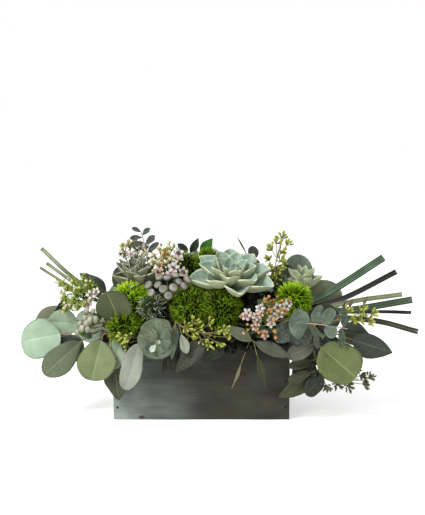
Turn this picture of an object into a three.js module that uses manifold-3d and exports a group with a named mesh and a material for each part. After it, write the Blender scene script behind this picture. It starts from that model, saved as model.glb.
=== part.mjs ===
// A floral table centrepiece: a weathered wooden box with a plastic liner and floral foam, planted
// with echeverias, green dianthus, brunia, waxflower, eucalyptus, lily grass and ruscus.
// Millimetres, +Z up, the front of the box towards -Y, origin at the middle of its underside.
import * as THREE from 'three';
import { mergeVertices } from 'three/addons/utils/BufferGeometryUtils.js';
import Module from 'manifold-3d';

const wasm = await Module();
wasm.setup();

// ---------------------------------------------------------------- driving dimensions
const GAP = 0.3; // clearance between neighbours
const BOX = { length: 254, depth: 127, height: 114, board: 12, floor: 10 };
const LINER = { wall: 1.5, height: 94, play: 0.5, base: BOX.floor + GAP };
const FOAM_TOP = 130; // the foam stands above the rim, so that stems also go in from the side
const STEM_END = 98; // how deep the cut stems reach
const STEM_RADIUS = 1.8;
const WAXFLOWER_STEM_RADIUS = 1.4;
const PICK_RADIUS = 2;
const PETIOLE_RADIUS = 0.9;
const LEAF_THICKNESS = 1.3;
const LARGE_LEAF = 30; // leaves longer than this get more stations along the blade
const GRASS_THICKNESS = 1.2;
const GRASS_FACE = [0, -1, 0.4];
const GOLDEN_ANGLE = THREE.MathUtils.degToRad(137.508);

// ---------------------------------------------------------------- materials
const finish = (color, roughness = 0.6) => new THREE.MeshStandardMaterial({
  color, roughness, metalness: 0, side: THREE.FrontSide,
});
const MATERIALS = {
  boards: finish('#585754', 0.85),
  liner: finish('#1d1f1e', 0.5),
  foam: finish('#2f5a35', 0.95),
  pick: finish('#a98b5e', 0.8),
  echeveriaBlue: finish('#8fb0a0', 0.55),
  echeveriaGrey: finish('#6b7061', 0.55),
  echeveriaPale: finish('#9ab09a', 0.55),
  dianthus: finish('#5f9a10', 0.7),
  brunia: finish('#a9a896', 0.9),
  eryngium: finish('#5b625e', 0.8),
  waxflower: finish('#efe3e0', 0.7),
  dollar: finish('#78866a', 0.6),
  baby: finish('#6a7c70', 0.65),
  seeded: finish('#5d6351', 0.6),
  grassGreen: finish('#4a6a4b', 0.45),
  grassPale: finish('#8d9673', 0.5),
  grassDark: finish('#232b25', 0.45),
  ruscus: finish('#44604a', 0.45),
};

// ---------------------------------------------------------------- solids from geometries
const vec = (p) => new THREE.Vector3(...p);

function solidFrom(positions, triangles) {
  const vertProperties = Float32Array.from(positions);
  const solid = new wasm.Manifold(new wasm.Mesh({
    numProp: 3, vertProperties, triVerts: Uint32Array.from(triangles),
  }));
  if (solid.volume() > 0) return solid;
  const flipped = [];
  for (let i = 0; i < triangles.length; i += 3) {
    flipped.push(triangles[i], triangles[i + 2], triangles[i + 1]);
  }
  return new wasm.Manifold(new wasm.Mesh({
    numProp: 3, vertProperties, triVerts: Uint32Array.from(flipped),
  }));
}

function solidOf(geometry) {
  geometry.deleteAttribute('normal');
  geometry.deleteAttribute('uv');
  const merged = mergeVertices(geometry, 1e-4);
  const index = merged.index.array;
  const triangles = [];
  for (let i = 0; i < index.length; i += 3) {
    const [a, b, c] = [index[i], index[i + 1], index[i + 2]];
    if (a !== b && b !== c && c !== a) triangles.push(a, b, c);
  }
  return solidFrom(merged.attributes.position.array, triangles);
}

function geometryOf(solid) {
  const { vertProperties, triVerts } = solid.getMesh();
  const geometry = new THREE.BufferGeometry();
  geometry.setAttribute('position', new THREE.BufferAttribute(vertProperties, 3));
  geometry.setIndex(new THREE.BufferAttribute(triVerts, 1));
  geometry.computeVertexNormals();
  return geometry;
}

const join = (solids) => wasm.Manifold.union(solids);

function block(size, centre, grow = 0) {
  const geometry = new THREE.BoxGeometry(size[0] + 2 * grow, size[1] + 2 * grow, size[2] + 2 * grow);
  return solidOf(geometry.translate(...centre));
}

function ellipsoid(centre, radii, detail, grow = 0) {
  const geometry = new THREE.IcosahedronGeometry(1, detail);
  geometry.scale(radii[0] + grow, radii[1] + grow, radii[2] + grow);
  return solidOf(geometry.translate(...centre));
}

// A tube of regular section along a smooth path.
function tube(path, radius, steps, sides = 4) {
  const section = new THREE.Shape();
  for (let i = 0; i < sides; i++) {
    const angle = (i / sides) * 2 * Math.PI;
    section[i ? 'lineTo' : 'moveTo'](radius * Math.cos(angle), radius * Math.sin(angle));
  }
  return solidOf(new THREE.ExtrudeGeometry(section, {
    steps, extrudePath: path, bevelEnabled: false,
  }));
}

const stemPath = (points) => new THREE.CatmullRomCurve3(points.map(vec), false, 'centripetal');
const stem = (path, grow, radius = STEM_RADIUS) => (
  tube(path, radius + grow, 2 * path.points.length - 3));

// A stalk with something round on its end, turned about the line between two points. The profile
// lists [distance from the end, radius] from the stalk's start outwards.
function turned(from, to, profile, sides, grow) {
  const length = from.distanceTo(to);
  const points = [[length, 0], ...profile.map(([d, r]) => [d < 0 ? length : d, r]), [0, 0]];
  const outline = points.map(([d, r]) => new THREE.Vector2(r > 0 ? r + grow : 0, length - d));
  outline[0].y -= grow;
  outline.at(-1).y += grow;
  outline[1].y -= grow;
  if (profile.at(-1)[0] === 0) outline.at(-2).y += grow;
  const geometry = new THREE.LatheGeometry(outline, sides);
  const direction = to.clone().sub(from).normalize();
  const turn = new THREE.Quaternion().setFromUnitVectors(new THREE.Vector3(0, 1, 0), direction);
  return solidOf(geometry.applyQuaternion(turn).translate(...from.toArray()));
}

// ---------------------------------------------------------------- blades
// How wide a blade is at t, from 0 at its base to 1 at its tip, as a share of its full width.
const OUTLINES = {
  round: (t) => Math.sqrt(Math.max(0, 1 - (2 * t - 1) ** 2)),
  oval: (t) => Math.sin(Math.PI * t ** 1.25) ** 0.5,
  shield: (t) => Math.sin(Math.PI * t ** 1.1) ** 0.42,
  pointed: (t) => Math.sin(Math.PI * t ** 0.8) ** 0.85,
  lance: (t) => Math.sin(Math.PI * t ** 0.8) ** 1.15,
  spoon: (t) => 0.3 + 0.7 * Math.sin(Math.PI * t ** 1.5) ** 0.9 - 0.3 * t ** 6,
  strap: (t) => 0.45 + 0.55 * Math.min(1, 2.5 * t),
};

// A blade has a lens-shaped section. Each station gives its point, its direction, and half its
// width and thickness there; a station of no width is a point. The upper side looks to face.
function blade(stations, face, grow = 0) {
  const positions = [];
  const rings = stations.map(({ point, along, width, thickness }, i) => {
    const side = new THREE.Vector3().crossVectors(along, vec(face)).normalize();
    const up = new THREE.Vector3().crossVectors(side, along).normalize();
    const end = (i === stations.length - 1 ? grow : 0) - (i === 0 ? grow : 0);
    const middle = point.clone().addScaledVector(along, end);
    const corners = [
      [side, width + grow],
      [up, thickness + grow],
      [side, -width - grow],
      [up, -thickness - grow],
    ];
    return (width > 0 ? corners : [[up, 0]]).map(([direction, distance]) => {
      const corner = middle.clone().addScaledVector(direction, distance);
      positions.push(corner.x, corner.y, corner.z);
      return positions.length / 3 - 1;
    });
  });
  const triangles = [];
  for (let i = 0; i + 1 < rings.length; i++) {
    const [a, b] = [rings[i], rings[i + 1]];
    for (let k = 0; k < 4; k++) {
      const n = (k + 1) % 4;
      if (b.length > 1) triangles.push(a[k % a.length], b[k], b[n]);
      if (a.length > 1) triangles.push(a[k], b[n % b.length], a[n]);
    }
  }
  const close = (ring, order) => {
    if (ring.length > 1) triangles.push(...order.map((k) => ring[k]));
  };
  close(rings[0], [0, 1, 2, 0, 2, 3]);
  close(rings.at(-1), [0, 2, 1, 0, 3, 2]);
  return solidFrom(positions, triangles);
}

function stationsOf(curve, places, { width, thickness, outline }) {
  return places.map((t) => ({
    point: curve.getPoint(t),
    along: curve.getTangent(t).normalize(),
    width: t < 1 || outline === 'strap' ? (OUTLINES[outline](t) * width) / 2 : 0,
    thickness: thickness / 2,
  }));
}

// A leaf's midrib runs from base to tip and bows towards its face by bow millimetres.
function midrib(base, tip, face, bow) {
  const middle = base.clone().add(tip).multiplyScalar(0.5);
  middle.addScaledVector(vec(face).normalize(), 2 * bow);
  return new THREE.QuadraticBezierCurve3(base, middle, tip);
}

// A leaf on its petiole. The petiole starts on the stem and the blade ends at tip.
function leaf(path, { at, tip, size, face, outline = 'round', bow = 3 }, grow) {
  const from = path.getPointAt(at);
  const end = vec(tip);
  const reach = from.distanceTo(end);
  const base = end.clone().lerp(from, Math.min(0.96, size[0] / reach));
  const curve = midrib(base, end, face, bow);
  const petiole = {
    along: base.clone().sub(from).normalize(),
    width: PETIOLE_RADIUS,
    thickness: PETIOLE_RADIUS,
  };
  const places = size[0] > LARGE_LEAF ? [0.1, 0.34, 0.66, 0.9, 1] : [0.25, 0.72, 1];
  const shape = { width: size[1], thickness: LEAF_THICKNESS, outline };
  return blade([
    { ...petiole, point: from },
    { ...petiole, point: base },
    ...stationsOf(curve, places, shape),
  ], face, grow);
}

// Where the stalk of a small head leaves the stem: a little below the nearest point.
function forkOf(path, head) {
  let best = 0.5;
  for (let t = 0.5; t <= 1; t += 0.05) {
    if (path.getPointAt(t).distanceTo(head) < path.getPointAt(best).distanceTo(head)) best = t;
  }
  return path.getPointAt(Math.max(0.4, best - 0.1));
}

// ---------------------------------------------------------------- the planting
// Each list below is a stem from its cut end in the foam to its tip, and what grows on it.
// A leaf is [place along the stem, tip, [length, width], the way its face looks, outline, bow].

const toLeaf = ([at, tip, size, face, outline, bow]) => ({ at, tip, size, face, outline, bow });

const EUCALYPTUS = {
  silver_dollar_left: {
    material: 'dollar',
    stem: [[-86, -6, STEM_END], [-104, -14, 130], [-140, -36, 138], [-174, -52, 129]],
    leaves: [
      [1, [-260, -50, 112], [58, 58], [0, -1, 0.15]],
      [0.86, [-223, -34, 139], [44, 41], [0, -1, 0.2]],
      [0.7, [-243, -6, 138], [54, 40], [0, -1, 0.4]],
      [0.5, [-148, 0, 84], [44, 40], [-1, 0.1, 0.3]],
    ],
  },
  silver_dollar_low_left: {
    material: 'dollar',
    stem: [[-92, -24, STEM_END], [-110, -34, 128], [-140, -50, 130], [-166, -56, 120]],
    leaves: [
      [1, [-227, -56, 65], [72, 40], [0.3, -1, 0.3], 'oval', 5],
      [0.9, [-212, -38, 88], [50, 42], [0, -1, 0.1]],
      [0.85, [-173, -74, 131], [13, 12], [0, -1, 0.2]],
      [0.8, [-166, -78, 126], [15, 12], [0.2, -1, 0.2]],
    ],
  },
  silver_dollar_front_left: {
    material: 'dollar',
    stem: [[-78, -30, STEM_END], [-94, -44, 129], [-116, -62, 129], [-140, -70, 128]],
    leaves: [
      [1, [-156, -84, 63], [58, 55], [0, -1, 0.12], 'shield'],
      [0.8, [-150, -66, 86], [32, 30], [0, -1, 0.1]],
      [0.66, [-134, -74, 190], [50, 50], [0, -1, 0.1]],
      [0.72, [-162, -66, 134], [34, 16], [0, 0.2, 1], 'oval'],
      [0.62, [-129, -74, 78], [48, 30], [0, -1, 0.1], 'shield'],
      [0.9, [-118, -74, 32], [50, 34], [-0.1, -1, 0.1], 'pointed'],
    ],
  },
  silver_dollar_upper_left: {
    material: 'dollar',
    stem: [[-88, 30, STEM_END], [-98, 28, 130], [-130, 6, 168], [-150, -10, 180], [-194, -20, 176]],
    leaves: [
      [0.62, [-178, -14, 206], [50, 21], [0.1, -1, 0.5], 'pointed'],
      [1, [-220, -24, 139], [46, 10], [0.5, -1, 0.3], 'lance'],
      [0.5, [-118, 8, 212], [34, 24], [0, -1, 0.3], 'oval'],
      [0.4, [-150, 36, 102], [46, 42], [-1, 0.3, 0.3]],
    ],
  },
  silver_dollar_front_right: {
    material: 'dollar',
    stem: [[92, -30, STEM_END], [104, -42, 128], [128, -62, 126], [152, -76, 119], [168, -84, 113]],
    leaves: [
      [1, [219, -90, 69], [65, 62], [0, -1, 0.1], 'shield'],
      [0.93, [122, -88, 98], [50, 25], [0, -1, 0.2], 'oval'],
      [0.8, [124, -74, 116], [40, 30], [0, -1, 0.1]],
    ],
  },
  silver_dollar_right: {
    material: 'dollar',
    stem: [[98, -6, STEM_END], [114, -10, 128], [160, -30, 134], [204, -42, 118]],
    leaves: [
      [1, [276, -46, 95], [62, 36], [0, -1, 0.2], 'pointed'],
      [0.85, [247, -30, 116], [50, 34], [0.1, -1, 0.3], 'pointed'],
      [0.75, [198, -48, 84], [40, 34], [0, -1, 0.1]],
      [0.6, [164, -52, 78], [44, 40], [0, -1, 0.1]],
      [0.55, [198, -54, 152], [46, 44], [0, -1, 0.1]],
      [0.45, [150, 2, 82], [46, 42], [1, 0.1, 0.3]],
    ],
  },
  silver_dollar_right_back: {
    material: 'dollar',
    stem: [[84, 18, STEM_END], [98, 22, 130], [130, 28, 139], [160, 26, 140]],
    leaves: [
      [1, [198, 12, 186], [56, 54], [-0.1, -1, 0.1]],
      [0.82, [143, 38, 226], [54, 44], [0, -1, 0.2]],
      [0.7, [119, 34, 212], [50, 40], [0, -1, 0.2]],
      [0.6, [148, 46, 88], [46, 42], [1, 0.4, 0.3]],
    ],
  },
  silver_dollar_back_left: {
    material: 'dollar',
    stem: [[-70, 30, STEM_END], [-84, 42, 129], [-112, 62, 130], [-140, 74, 122]],
    leaves: [
      [1, [-194, 86, 92], [54, 52], [0, 1, 0.15]],
      [0.9, [-146, 92, 62], [52, 48], [0, 1, 0.12]],
      [0.7, [-126, 80, 178], [48, 44], [0, 1, 0.15]],
      [0.5, [-92, 86, 86], [46, 42], [0, 1, 0.2]],
    ],
  },
  silver_dollar_back_right: {
    material: 'dollar',
    stem: [[64, 30, STEM_END], [80, 42, 129], [110, 62, 130], [142, 74, 124]],
    leaves: [
      [1, [198, 84, 98], [56, 54], [0, 1, 0.15]],
      [0.9, [150, 92, 62], [54, 50], [0, 1, 0.12]],
      [0.7, [122, 80, 176], [46, 42], [0, 1, 0.2]],
      [0.5, [96, 88, 84], [46, 42], [0, 1, 0.2]],
    ],
  },
  baby_eucalyptus_right: {
    material: 'baby',
    stem: [[76, -22, STEM_END], [86, -34, 130], [112, -62, 139], [139, -86, 147], [172, -94, 146],
      [206, -92, 140]],
    leaves: [
      [0.7, [123, -97, 151], [32, 42], [0.1, -1, 0.1], 'round', 1],
      [0.74, [167, -97, 175], [30, 20], [0.35, -1, 0.1], 'round', 1],
      [0.8, [186, -94, 169], [30, 20], [0.2, -1, 0.1], 'round', 1],
      [0.82, [188, -101, 130], [20, 18], [0.2, -1, 0], 'round', 1],
      [0.97, [201, -90, 164], [24, 14], [0.4, -1, 0.1], 'oval', 1],
      [0.95, [197, -99, 114], [28, 13], [0.5, -1, 0], 'oval', 1],
      [0.56, [104, -94, 123], [32, 27], [0, -1, 0.1], 'round', 1],
      [0.62, [140, -86, 113], [36, 34], [0, -1, 0.1], 'round', 1],
      [0.74, [163, -103, 114], [32, 9], [0.3, -1, 0], 'oval', 1],
    ],
  },
  baby_eucalyptus_front_left: {
    material: 'baby',
    stem: [[-46, -32, STEM_END], [-52, -46, 128], [-58, -72, 128], [-62, -98, 122]],
    leaves: [
      [0.96, [-89, -97, 131], [30, 38], [0, -1, 0.2], 'round', 1],
      [0.93, [-64, -93, 155], [35, 46], [0.1, -1, 0.25], 'round', 1],
      [0.9, [-42, -99, 123], [28, 38], [0.2, -1, 0.1], 'round', 1],
      [0.96, [-60, -104, 99], [28, 42], [0.1, -1, -0.1], 'round', 1],
      [1, [-71, -110, 111], [13, 9], [0, -1, 0.3], 'oval', 0],
      [1, [-57, -110, 125], [10, 7], [0, -1, 0.3], 'oval', 0],
    ],
  },
  baby_eucalyptus_top_left: {
    material: 'baby',
    stem: [[-74, 28, STEM_END], [-76, 28, 130], [-78, 24, 190], [-82, 22, 232], [-89, 20, 262]],
    leaves: [
      [0.8, [-63, 16, 247], [24, 9], [0.3, -1, 0.7], 'oval', 1],
      [0.9, [-105, 16, 243], [22, 9], [-0.2, -1, 0.7], 'oval', 1],
      [0.88, [-69, 16, 257], [23, 10], [0.3, -1, 0.7], 'oval', 1],
      [0.95, [-106, 16, 253], [19, 8], [-0.2, -1, 0.7], 'oval', 1],
      [0.97, [-76, 18, 268], [17, 8], [0.3, -1, 0.7], 'oval', 1],
      [1, [-103, 20, 268], [15, 7], [-0.2, -1, 0.7], 'oval', 1],
    ],
  },
  seeded_eucalyptus_front_left: {
    material: 'seeded',
    stem: [[-62, -34, STEM_END], [-70, -48, 125], [-79, -68, 126], [-86, -80, 123]],
    leaves: [
      [1, [-107, -102, 54], [68, 31], [0.1, -1, 0.1], 'shield'],
    ],
    capsules: [[-104, -84, 126], [-113, -82, 128], [-108, -82, 116], [-74, -84, 108]],
  },
  seeded_eucalyptus_front_center: {
    material: 'seeded',
    stem: [[-18, -34, STEM_END], [-26, -48, 126], [-37, -76, 148], [-24, -91, 141], [14, -94, 132]],
    leaves: [
      [0.5, [-42, -106, 98], [64, 14], [0.35, -1, 0], 'lance'],
      [0.62, [-20, -108, 108], [29, 14], [0.1, -1, 0.1], 'oval', 1],
      [0.55, [-40, -98, 80], [38, 22], [0.3, -1, 0], 'oval', 2],
      [0.5, [-52, -92, 76], [30, 14], [0.2, -1, 0], 'oval', 1],
      [1, [-36, -101, 79], [60, 28], [-0.3, -1, 0.3], 'pointed', 4],
    ],
    capsules: [[-19, -92, 143], [-8, -92, 150], [2, -94, 144], [14, -96, 150], [-14, -92, 126],
      [2, -98, 122], [14, -98, 118], [26, -98, 120], [38, -94, 128], [34, -94, 140], [24, -96, 134],
      [-10, -94, 135]],
  },
  seeded_eucalyptus_front_right: {
    material: 'seeded',
    stem: [[54, -30, STEM_END], [58, -48, 125], [64, -70, 124], [74, -84, 120]],
    leaves: [
      [1, [30, -90, 144], [50, 18], [0, -1, 0.4], 'lance', 2],
      [1, [128, -90, 98], [56, 19], [0, -1, 0.3], 'pointed', 2],
      [0.9, [43, -87, 52], [38, 6], [0.9, -1, 0], 'lance', 1],
      [0.6, [0, -92, 91], [44, 17], [0, -1, 0.5], 'lance', 2],
      [0.6, [104, -72, 132], [36, 18], [0, -1, 0.5], 'lance', 1],
      [1, [92, -92, 50], [52, 11], [0.5, -1, 0], 'lance', 1],
    ],
  },
  seeded_eucalyptus_low_right: {
    material: 'seeded',
    stem: [[98, -18, STEM_END], [112, -27, 127], [138, -50, 125], [160, -64, 104], [168, -68, 78],
      [186, -66, 62], [226, -62, 60]],
    leaves: [
      [0.6, [124, -82, 82], [36, 16], [0, -1, 0.5], 'oval', 1],
      [0.68, [124, -82, 62], [36, 17], [0, -1, 0.4], 'oval', 1],
      [0.74, [110, -80, 38], [54, 24], [0, -1, 0.2], 'pointed', 2],
      [0.72, [150, -78, 40], [40, 26], [0.2, -1, 0.1], 'oval', 2],
      [0.7, [148, -64, 50], [34, 30], [0, -1, 0.1]],
      [0.64, [131, -66, 62], [38, 32], [0, -1, 0.1]],
    ],
    capsules: [[198, -64, 50], [213, -62, 48], [224, -62, 76], [236, -64, 52], [245, -65, 61],
      [180, -66, 48], [232, -62, 66]],
  },
  seeded_eucalyptus_right: {
    material: 'seeded',
    stem: [[84, -24, STEM_END], [95, -33, 130], [130, -52, 147], [170, -58, 142], [206, -60, 148],
      [238, -60, 152]],
    leaves: [
      [0.3, [80, -66, 177], [44, 24], [0, -1, 0.3], 'pointed'],
      [0.82, [217, -54, 177], [15, 5], [0, -1, 0.3], 'lance', 1],
      [0.76, [208, -54, 174], [14, 5], [0.3, -1, 0.3], 'lance', 1],
      [0.92, [238, -54, 181], [16, 5], [-0.2, -1, 0.3], 'lance', 1],
    ],
    capsules: [[212, -60, 160], [216, -62, 148], [228, -60, 146], [232, -60, 160], [247, -60, 157],
      [243, -62, 147]],
  },
  seeded_eucalyptus_top_right: {
    material: 'seeded',
    stem: [[56, 16, STEM_END], [62, 18, 130], [92, 14, 180], [106, 8, 208], [114, 10, 240]],
    leaves: [
      [0.62, [69, 24, 228], [32, 16], [0, -1, 0.4], 'lance', 1],
      [0.5, [74, 28, 240], [20, 16], [0, -1, 0.2], 'round', 1],
      [0.6, [51, 22, 256], [30, 3], [0.3, -1, 0.2], 'lance', 1],
    ],
    capsules: [[119, 10, 258], [127, 10, 247], [109, 10, 251], [101, 8, 240], [119, 8, 236],
      [97, 2, 226], [117, 2, 224], [91, 0, 213], [104, -4, 211], [116, -2, 212], [98, -8, 198],
      [110, -8, 197]],
  },
  seeded_eucalyptus_back: {
    material: 'seeded',
    stem: [[20, 26, STEM_END], [21, 48, 125], [18, 72, 128], [4, 86, 122], [-14, 90, 114]],
    leaves: [
      [0.6, [44, 88, 62], [54, 18], [0, 1, 0.1], 'lance'],
      [0.75, [10, 94, 56], [50, 18], [0.2, 1, 0.1], 'lance'],
      [0.9, [-38, 96, 66], [52, 18], [-0.2, 1, 0.1], 'lance'],
      [0.55, [60, 82, 110], [38, 14], [0, 1, 0.4], 'lance'],
    ],
    capsules: [[-16, 94, 126], [-28, 94, 116], [-6, 96, 108], [-22, 92, 102], [-36, 92, 108]],
  },
  ruscus_top: {
    material: 'ruscus',
    stem: [[-8, 36, STEM_END], [-8, 38, 130], [-10, 40, 200], [-18, 36, 226]],
    leaves: [
      [1, [-5, 28, 252], [27, 12], [0.3, -1, 0.2], 'pointed', 2],
      [0.86, [16, 26, 252], [34, 17], [-0.2, -1, 0.3], 'pointed', 2],
      [1, [-36, 32, 243], [20, 13], [0, -1, 0.4], 'pointed', 1],
      [0.8, [-12, 62, 236], [28, 12], [0, 1, 0.6], 'pointed', 1],
    ],
  },
};

// Brunia carries felted round or oval fruits, each on a short stalk.
const BRUNIA = {
  brunia_center: {
    stem: [[-52, -12, STEM_END], [-51, -18, 130], [-49, -34, 160], [-48, -42, 178]],
    radii: [6, 6, 5.2],
    fruits: [[-75, -56, 196], [-62, -56, 196], [-60, -48, 205], [-54, -62, 191], [-47, -68, 183],
      [-71, -62, 186], [-40, -61, 193], [-32, -54, 200], [-25, -58, 195], [-20, -52, 203],
      [-49, -48, 205], [-37, -46, 208]],
  },
  brunia_left: {
    stem: [[-92, 2, STEM_END], [-100, -2, 130], [-124, -30, 147], [-148, -62, 152]],
    radii: [3.8, 3.8, 5.2],
    fruits: [[-163, -76, 162], [-154, -74, 161], [-165, -80, 152], [-150, -78, 150], [-172, -78, 144],
      [-158, -82, 150], [-169, -82, 138], [-161, -84, 137], [-176, -80, 132], [-163, -82, 145]],
  },
  brunia_back: {
    stem: [[40, 26, STEM_END], [42, 36, 130], [38, 52, 160], [36, 60, 174]],
    radii: [6, 6, 5.2],
    fruits: [[36, 74, 188], [24, 70, 190], [48, 70, 188], [30, 80, 177], [43, 81, 178], [55, 72, 176],
      [17, 74, 178], [38, 64, 198]],
  },
};

// Waxflower has shallow five-petalled cups and round buds on thin stalks.
const WAXFLOWER = {
  waxflower_center: {
    stem: [[-36, 4, STEM_END], [-38, 4, 130], [-44, -4, 175], [-50, -14, 212]],
    flowers: [[-34, -18, 236], [-41, -34, 217], [-27, -34, 211], [-62, -30, 211]],
    buds: [[-63, -15, 243], [-54, -12, 241], [-46, -16, 244], [-60, -22, 230], [-51, -18, 234],
      [-51, -26, 224], [-68, -20, 234], [-44, -18, 230], [-57, -28, 219], [-38, -20, 226],
      [-66, -22, 222]],
  },
  waxflower_front_right: {
    stem: [[64, -26, STEM_END], [70, -42, 130], [82, -62, 142], [92, -72, 152]],
    flowers: [[63, -82, 156], [84, -84, 168], [76, -92, 144], [98, -92, 148], [110, -88, 160],
      [122, -78, 173], [89, -92, 131], [78, -88, 157]],
    buds: [[108, -68, 181], [98, -72, 176], [107, -78, 169], [93, -84, 161], [119, -84, 161],
      [66, -90, 138], [104, -92, 136], [100, -84, 166], [90, -80, 176]],
  },
  waxflower_left: {
    stem: [[-100, 16, STEM_END], [-112, 12, 130], [-142, -8, 158], [-170, -34, 174]],
    flowers: [[-158, -56, 182], [-163, -60, 169]],
    buds: [[-175, -46, 190], [-171, -34, 203], [-196, -38, 190], [-206, -36, 196], [-186, -38, 199],
      [-201, -44, 174], [-178, -52, 160], [-160, -36, 198], [-189, -46, 166], [-184, -46, 181],
      [-196, -44, 156]],
  },
  waxflower_back_left: {
    stem: [[-84, 20, STEM_END], [-92, 24, 130], [-104, 28, 178], [-102, 28, 212]],
    flowers: [[-96, 24, 233], [-82, 26, 238], [-114, 24, 228]],
    buds: [[-118, 22, 217], [-107, 24, 241], [-118, 22, 238], [-90, 28, 242], [-104, 22, 220],
      [-88, 24, 225], [-78, 24, 222], [-98, 28, 244]],
  },
  waxflower_back: {
    stem: [[-22, 26, STEM_END], [-26, 40, 130], [-26, 56, 158], [-24, 64, 172]],
    flowers: [[-30, 74, 190], [-14, 74, 186], [-40, 76, 178], [-22, 82, 176], [-8, 78, 174]],
    buds: [[-22, 72, 198], [-38, 72, 190], [-6, 72, 184], [-32, 84, 172], [-14, 82, 166]],
  },
};

// Lily grass: straps cut square, with their points from foot to tip.
const GRASS = {
  lily_grass_right_1: {
    material: 'grassGreen',
    width: 11,
    points: [[102, 12, STEM_END], [108, 12, 130], [188, 0, 176], [268, 18, 224]],
  },
  lily_grass_right_2: {
    material: 'grassDark',
    width: 8,
    points: [[102, 4, STEM_END], [108, 4, 130], [206, -12, 168], [285, 0, 206]],
  },
  lily_grass_right_3: {
    material: 'grassPale',
    width: 7,
    points: [[104, -36, STEM_END], [109, -34, 130], [208, -26, 164], [292, -15, 175]],
  },
  lily_grass_right_4: {
    material: 'grassGreen',
    width: 10,
    points: [[88, -12, STEM_END], [100, -14, 131], [230, -36, 158], [304, -36, 171]],
  },
  lily_grass_right_5: {
    material: 'grassDark',
    width: 5,
    points: [[78, -4, STEM_END], [94, -6, 133], [250, -20, 150], [304, -30, 151]],
  },
  lily_grass_right_6: {
    material: 'grassGreen',
    width: 8,
    points: [[88, 8, STEM_END], [104, -1, 132], [244, -42, 142], [312, -46, 126]],
  },
  lily_grass_left_1: {
    material: 'grassPale',
    width: 6,
    points: [[-100, 38, STEM_END], [-106, 37, 130], [-190, 10, 196], [-237, 24, 237]],
  },
  lily_grass_left_2: {
    material: 'grassPale',
    width: 5,
    points: [[-100, 32, STEM_END], [-106, 30, 130], [-188, 0, 190], [-228, 10, 217]],
  },
  lily_grass_left_3: {
    material: 'grassPale',
    width: 4,
    points: [[-102, 24, STEM_END], [-108, 22, 130], [-190, -8, 184], [-236, -5, 213]],
  },
};

// Dianthus heads: [centre, radii, foot of the stem].
const DIANTHUS = {
  dianthus_front_left: [[-14, -40, 160], [32, 31, 36], [-6, -14, STEM_END]],
  dianthus_front_right: [[28, -36, 156], [33, 32, 34], [24, -12, STEM_END]],
  dianthus_left: [[-100, -34, 164], [33, 32, 34], [-74, -6, STEM_END]],
  dianthus_low_left: [[-112, -62, 134], [26, 22, 26], [-84, -36, STEM_END]],
  dianthus_right: [[134, -34, 170], [29, 24, 27], [68, -8, STEM_END]],
  dianthus_top_left: [[-22, 8, 214], [20, 20, 22], [-20, 8, STEM_END]],
  dianthus_top: [[10, 26, 216], [22, 22, 22], [6, 18, STEM_END]],
  dianthus_back_left: [[-68, 40, 160], [32, 28, 32], [-52, 20, STEM_END]],
  dianthus_back_right: [[70, 42, 160], [32, 28, 32], [52, 6, STEM_END]],
};

const ERYNGIUM = {
  centre: [-72, -62, 166],
  radius: 19,
  stem: [[-60, -18, STEM_END], [-64, -28, 130], [-70, -50, 152], [-72, -60, 160]],
};

// Echeverias: cut rosettes, each on a wooden pick.
const ECHEVERIA = {
  center: {
    material: 'echeveriaBlue',
    centre: [43, -24, 196],
    axis: [0.04, -0.36, 0.93],
    radius: 66,
    first: 11,
    count: 24,
    spread: [10, 78],
    share: 0.64,
    inner: 0.3,
    turn: 0.9,
    pick: [[40, 4, STEM_END], [41, 0, 130], [43, -18, 190]],
  },
  left: {
    material: 'echeveriaGrey',
    centre: [-94, -4, 184],
    axis: [-0.05, -0.34, 0.94],
    radius: 52,
    first: 7,
    count: 16,
    spread: [2, 54],
    share: 0.5,
    inner: 0.75,
    turn: 0,
    pick: [[-66, 8, STEM_END], [-72, 8, 130], [-93, 0, 178]],
  },
  right: {
    material: 'echeveriaPale',
    centre: [148, 2, 181],
    axis: [0.0, -0.3, 0.95],
    radius: 38,
    first: 4,
    count: 12,
    spread: [3, 52],
    share: 0.5,
    inner: 0.8,
    turn: 1,
    pick: [[74, 6, STEM_END], [88, 8, 130], [147, 6, 173]],
  },
};

// ---------------------------------------------------------------- how each kind is built
// Profiles of stalked things: [distance from the outer end, radius].
const CAPSULE = [[-1, 0.7], [0, 2.2]];
const FRUIT_STALK = [[-1, 1.3], [1, 1.3]];
const BUD = [[-1, 0.7], [5, 0.8], [1, 2.6]];
const FLOWER = [[-1, 0.7], [4, 0.9], [0, 7]];

function branch({ stem: points, leaves = [], capsules = [] }, grow) {
  const path = stemPath(points);
  const parts = [stem(path, grow)];
  for (const row of leaves) parts.push(leaf(path, toLeaf(row), grow));
  for (const place of capsules) {
    parts.push(turned(forkOf(path, vec(place)), vec(place), CAPSULE, 4, grow));
  }
  return join(parts);
}

function bruniaStem({ stem: points, radii, fruits }, grow) {
  const path = stemPath(points);
  const parts = [stem(path, grow)];
  for (const place of fruits) {
    parts.push(turned(forkOf(path, vec(place)), vec(place), FRUIT_STALK, 3, grow));
    parts.push(ellipsoid(place, radii, 0, grow));
  }
  return join(parts);
}

function waxflowerSprig({ stem: points, flowers, buds }, grow) {
  const path = stemPath(points);
  const parts = [stem(path, grow, WAXFLOWER_STEM_RADIUS)];
  const grown = (place, profile, sides) => {
    parts.push(turned(forkOf(path, vec(place)), vec(place), profile, sides, grow));
  };
  for (const place of flowers) grown(place, FLOWER, 5);
  for (const place of buds) grown(place, BUD, 4);
  return join(parts);
}

function grassBlade({ points, width }, grow) {
  const curve = stemPath(points);
  const shape = { width, thickness: GRASS_THICKNESS, outline: 'strap' };
  const places = [0, 0.08, 0.16, 0.33, 0.5, 0.66, 0.83, 1];
  return blade(stationsOf(curve, places, shape), GRASS_FACE, grow);
}

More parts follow.
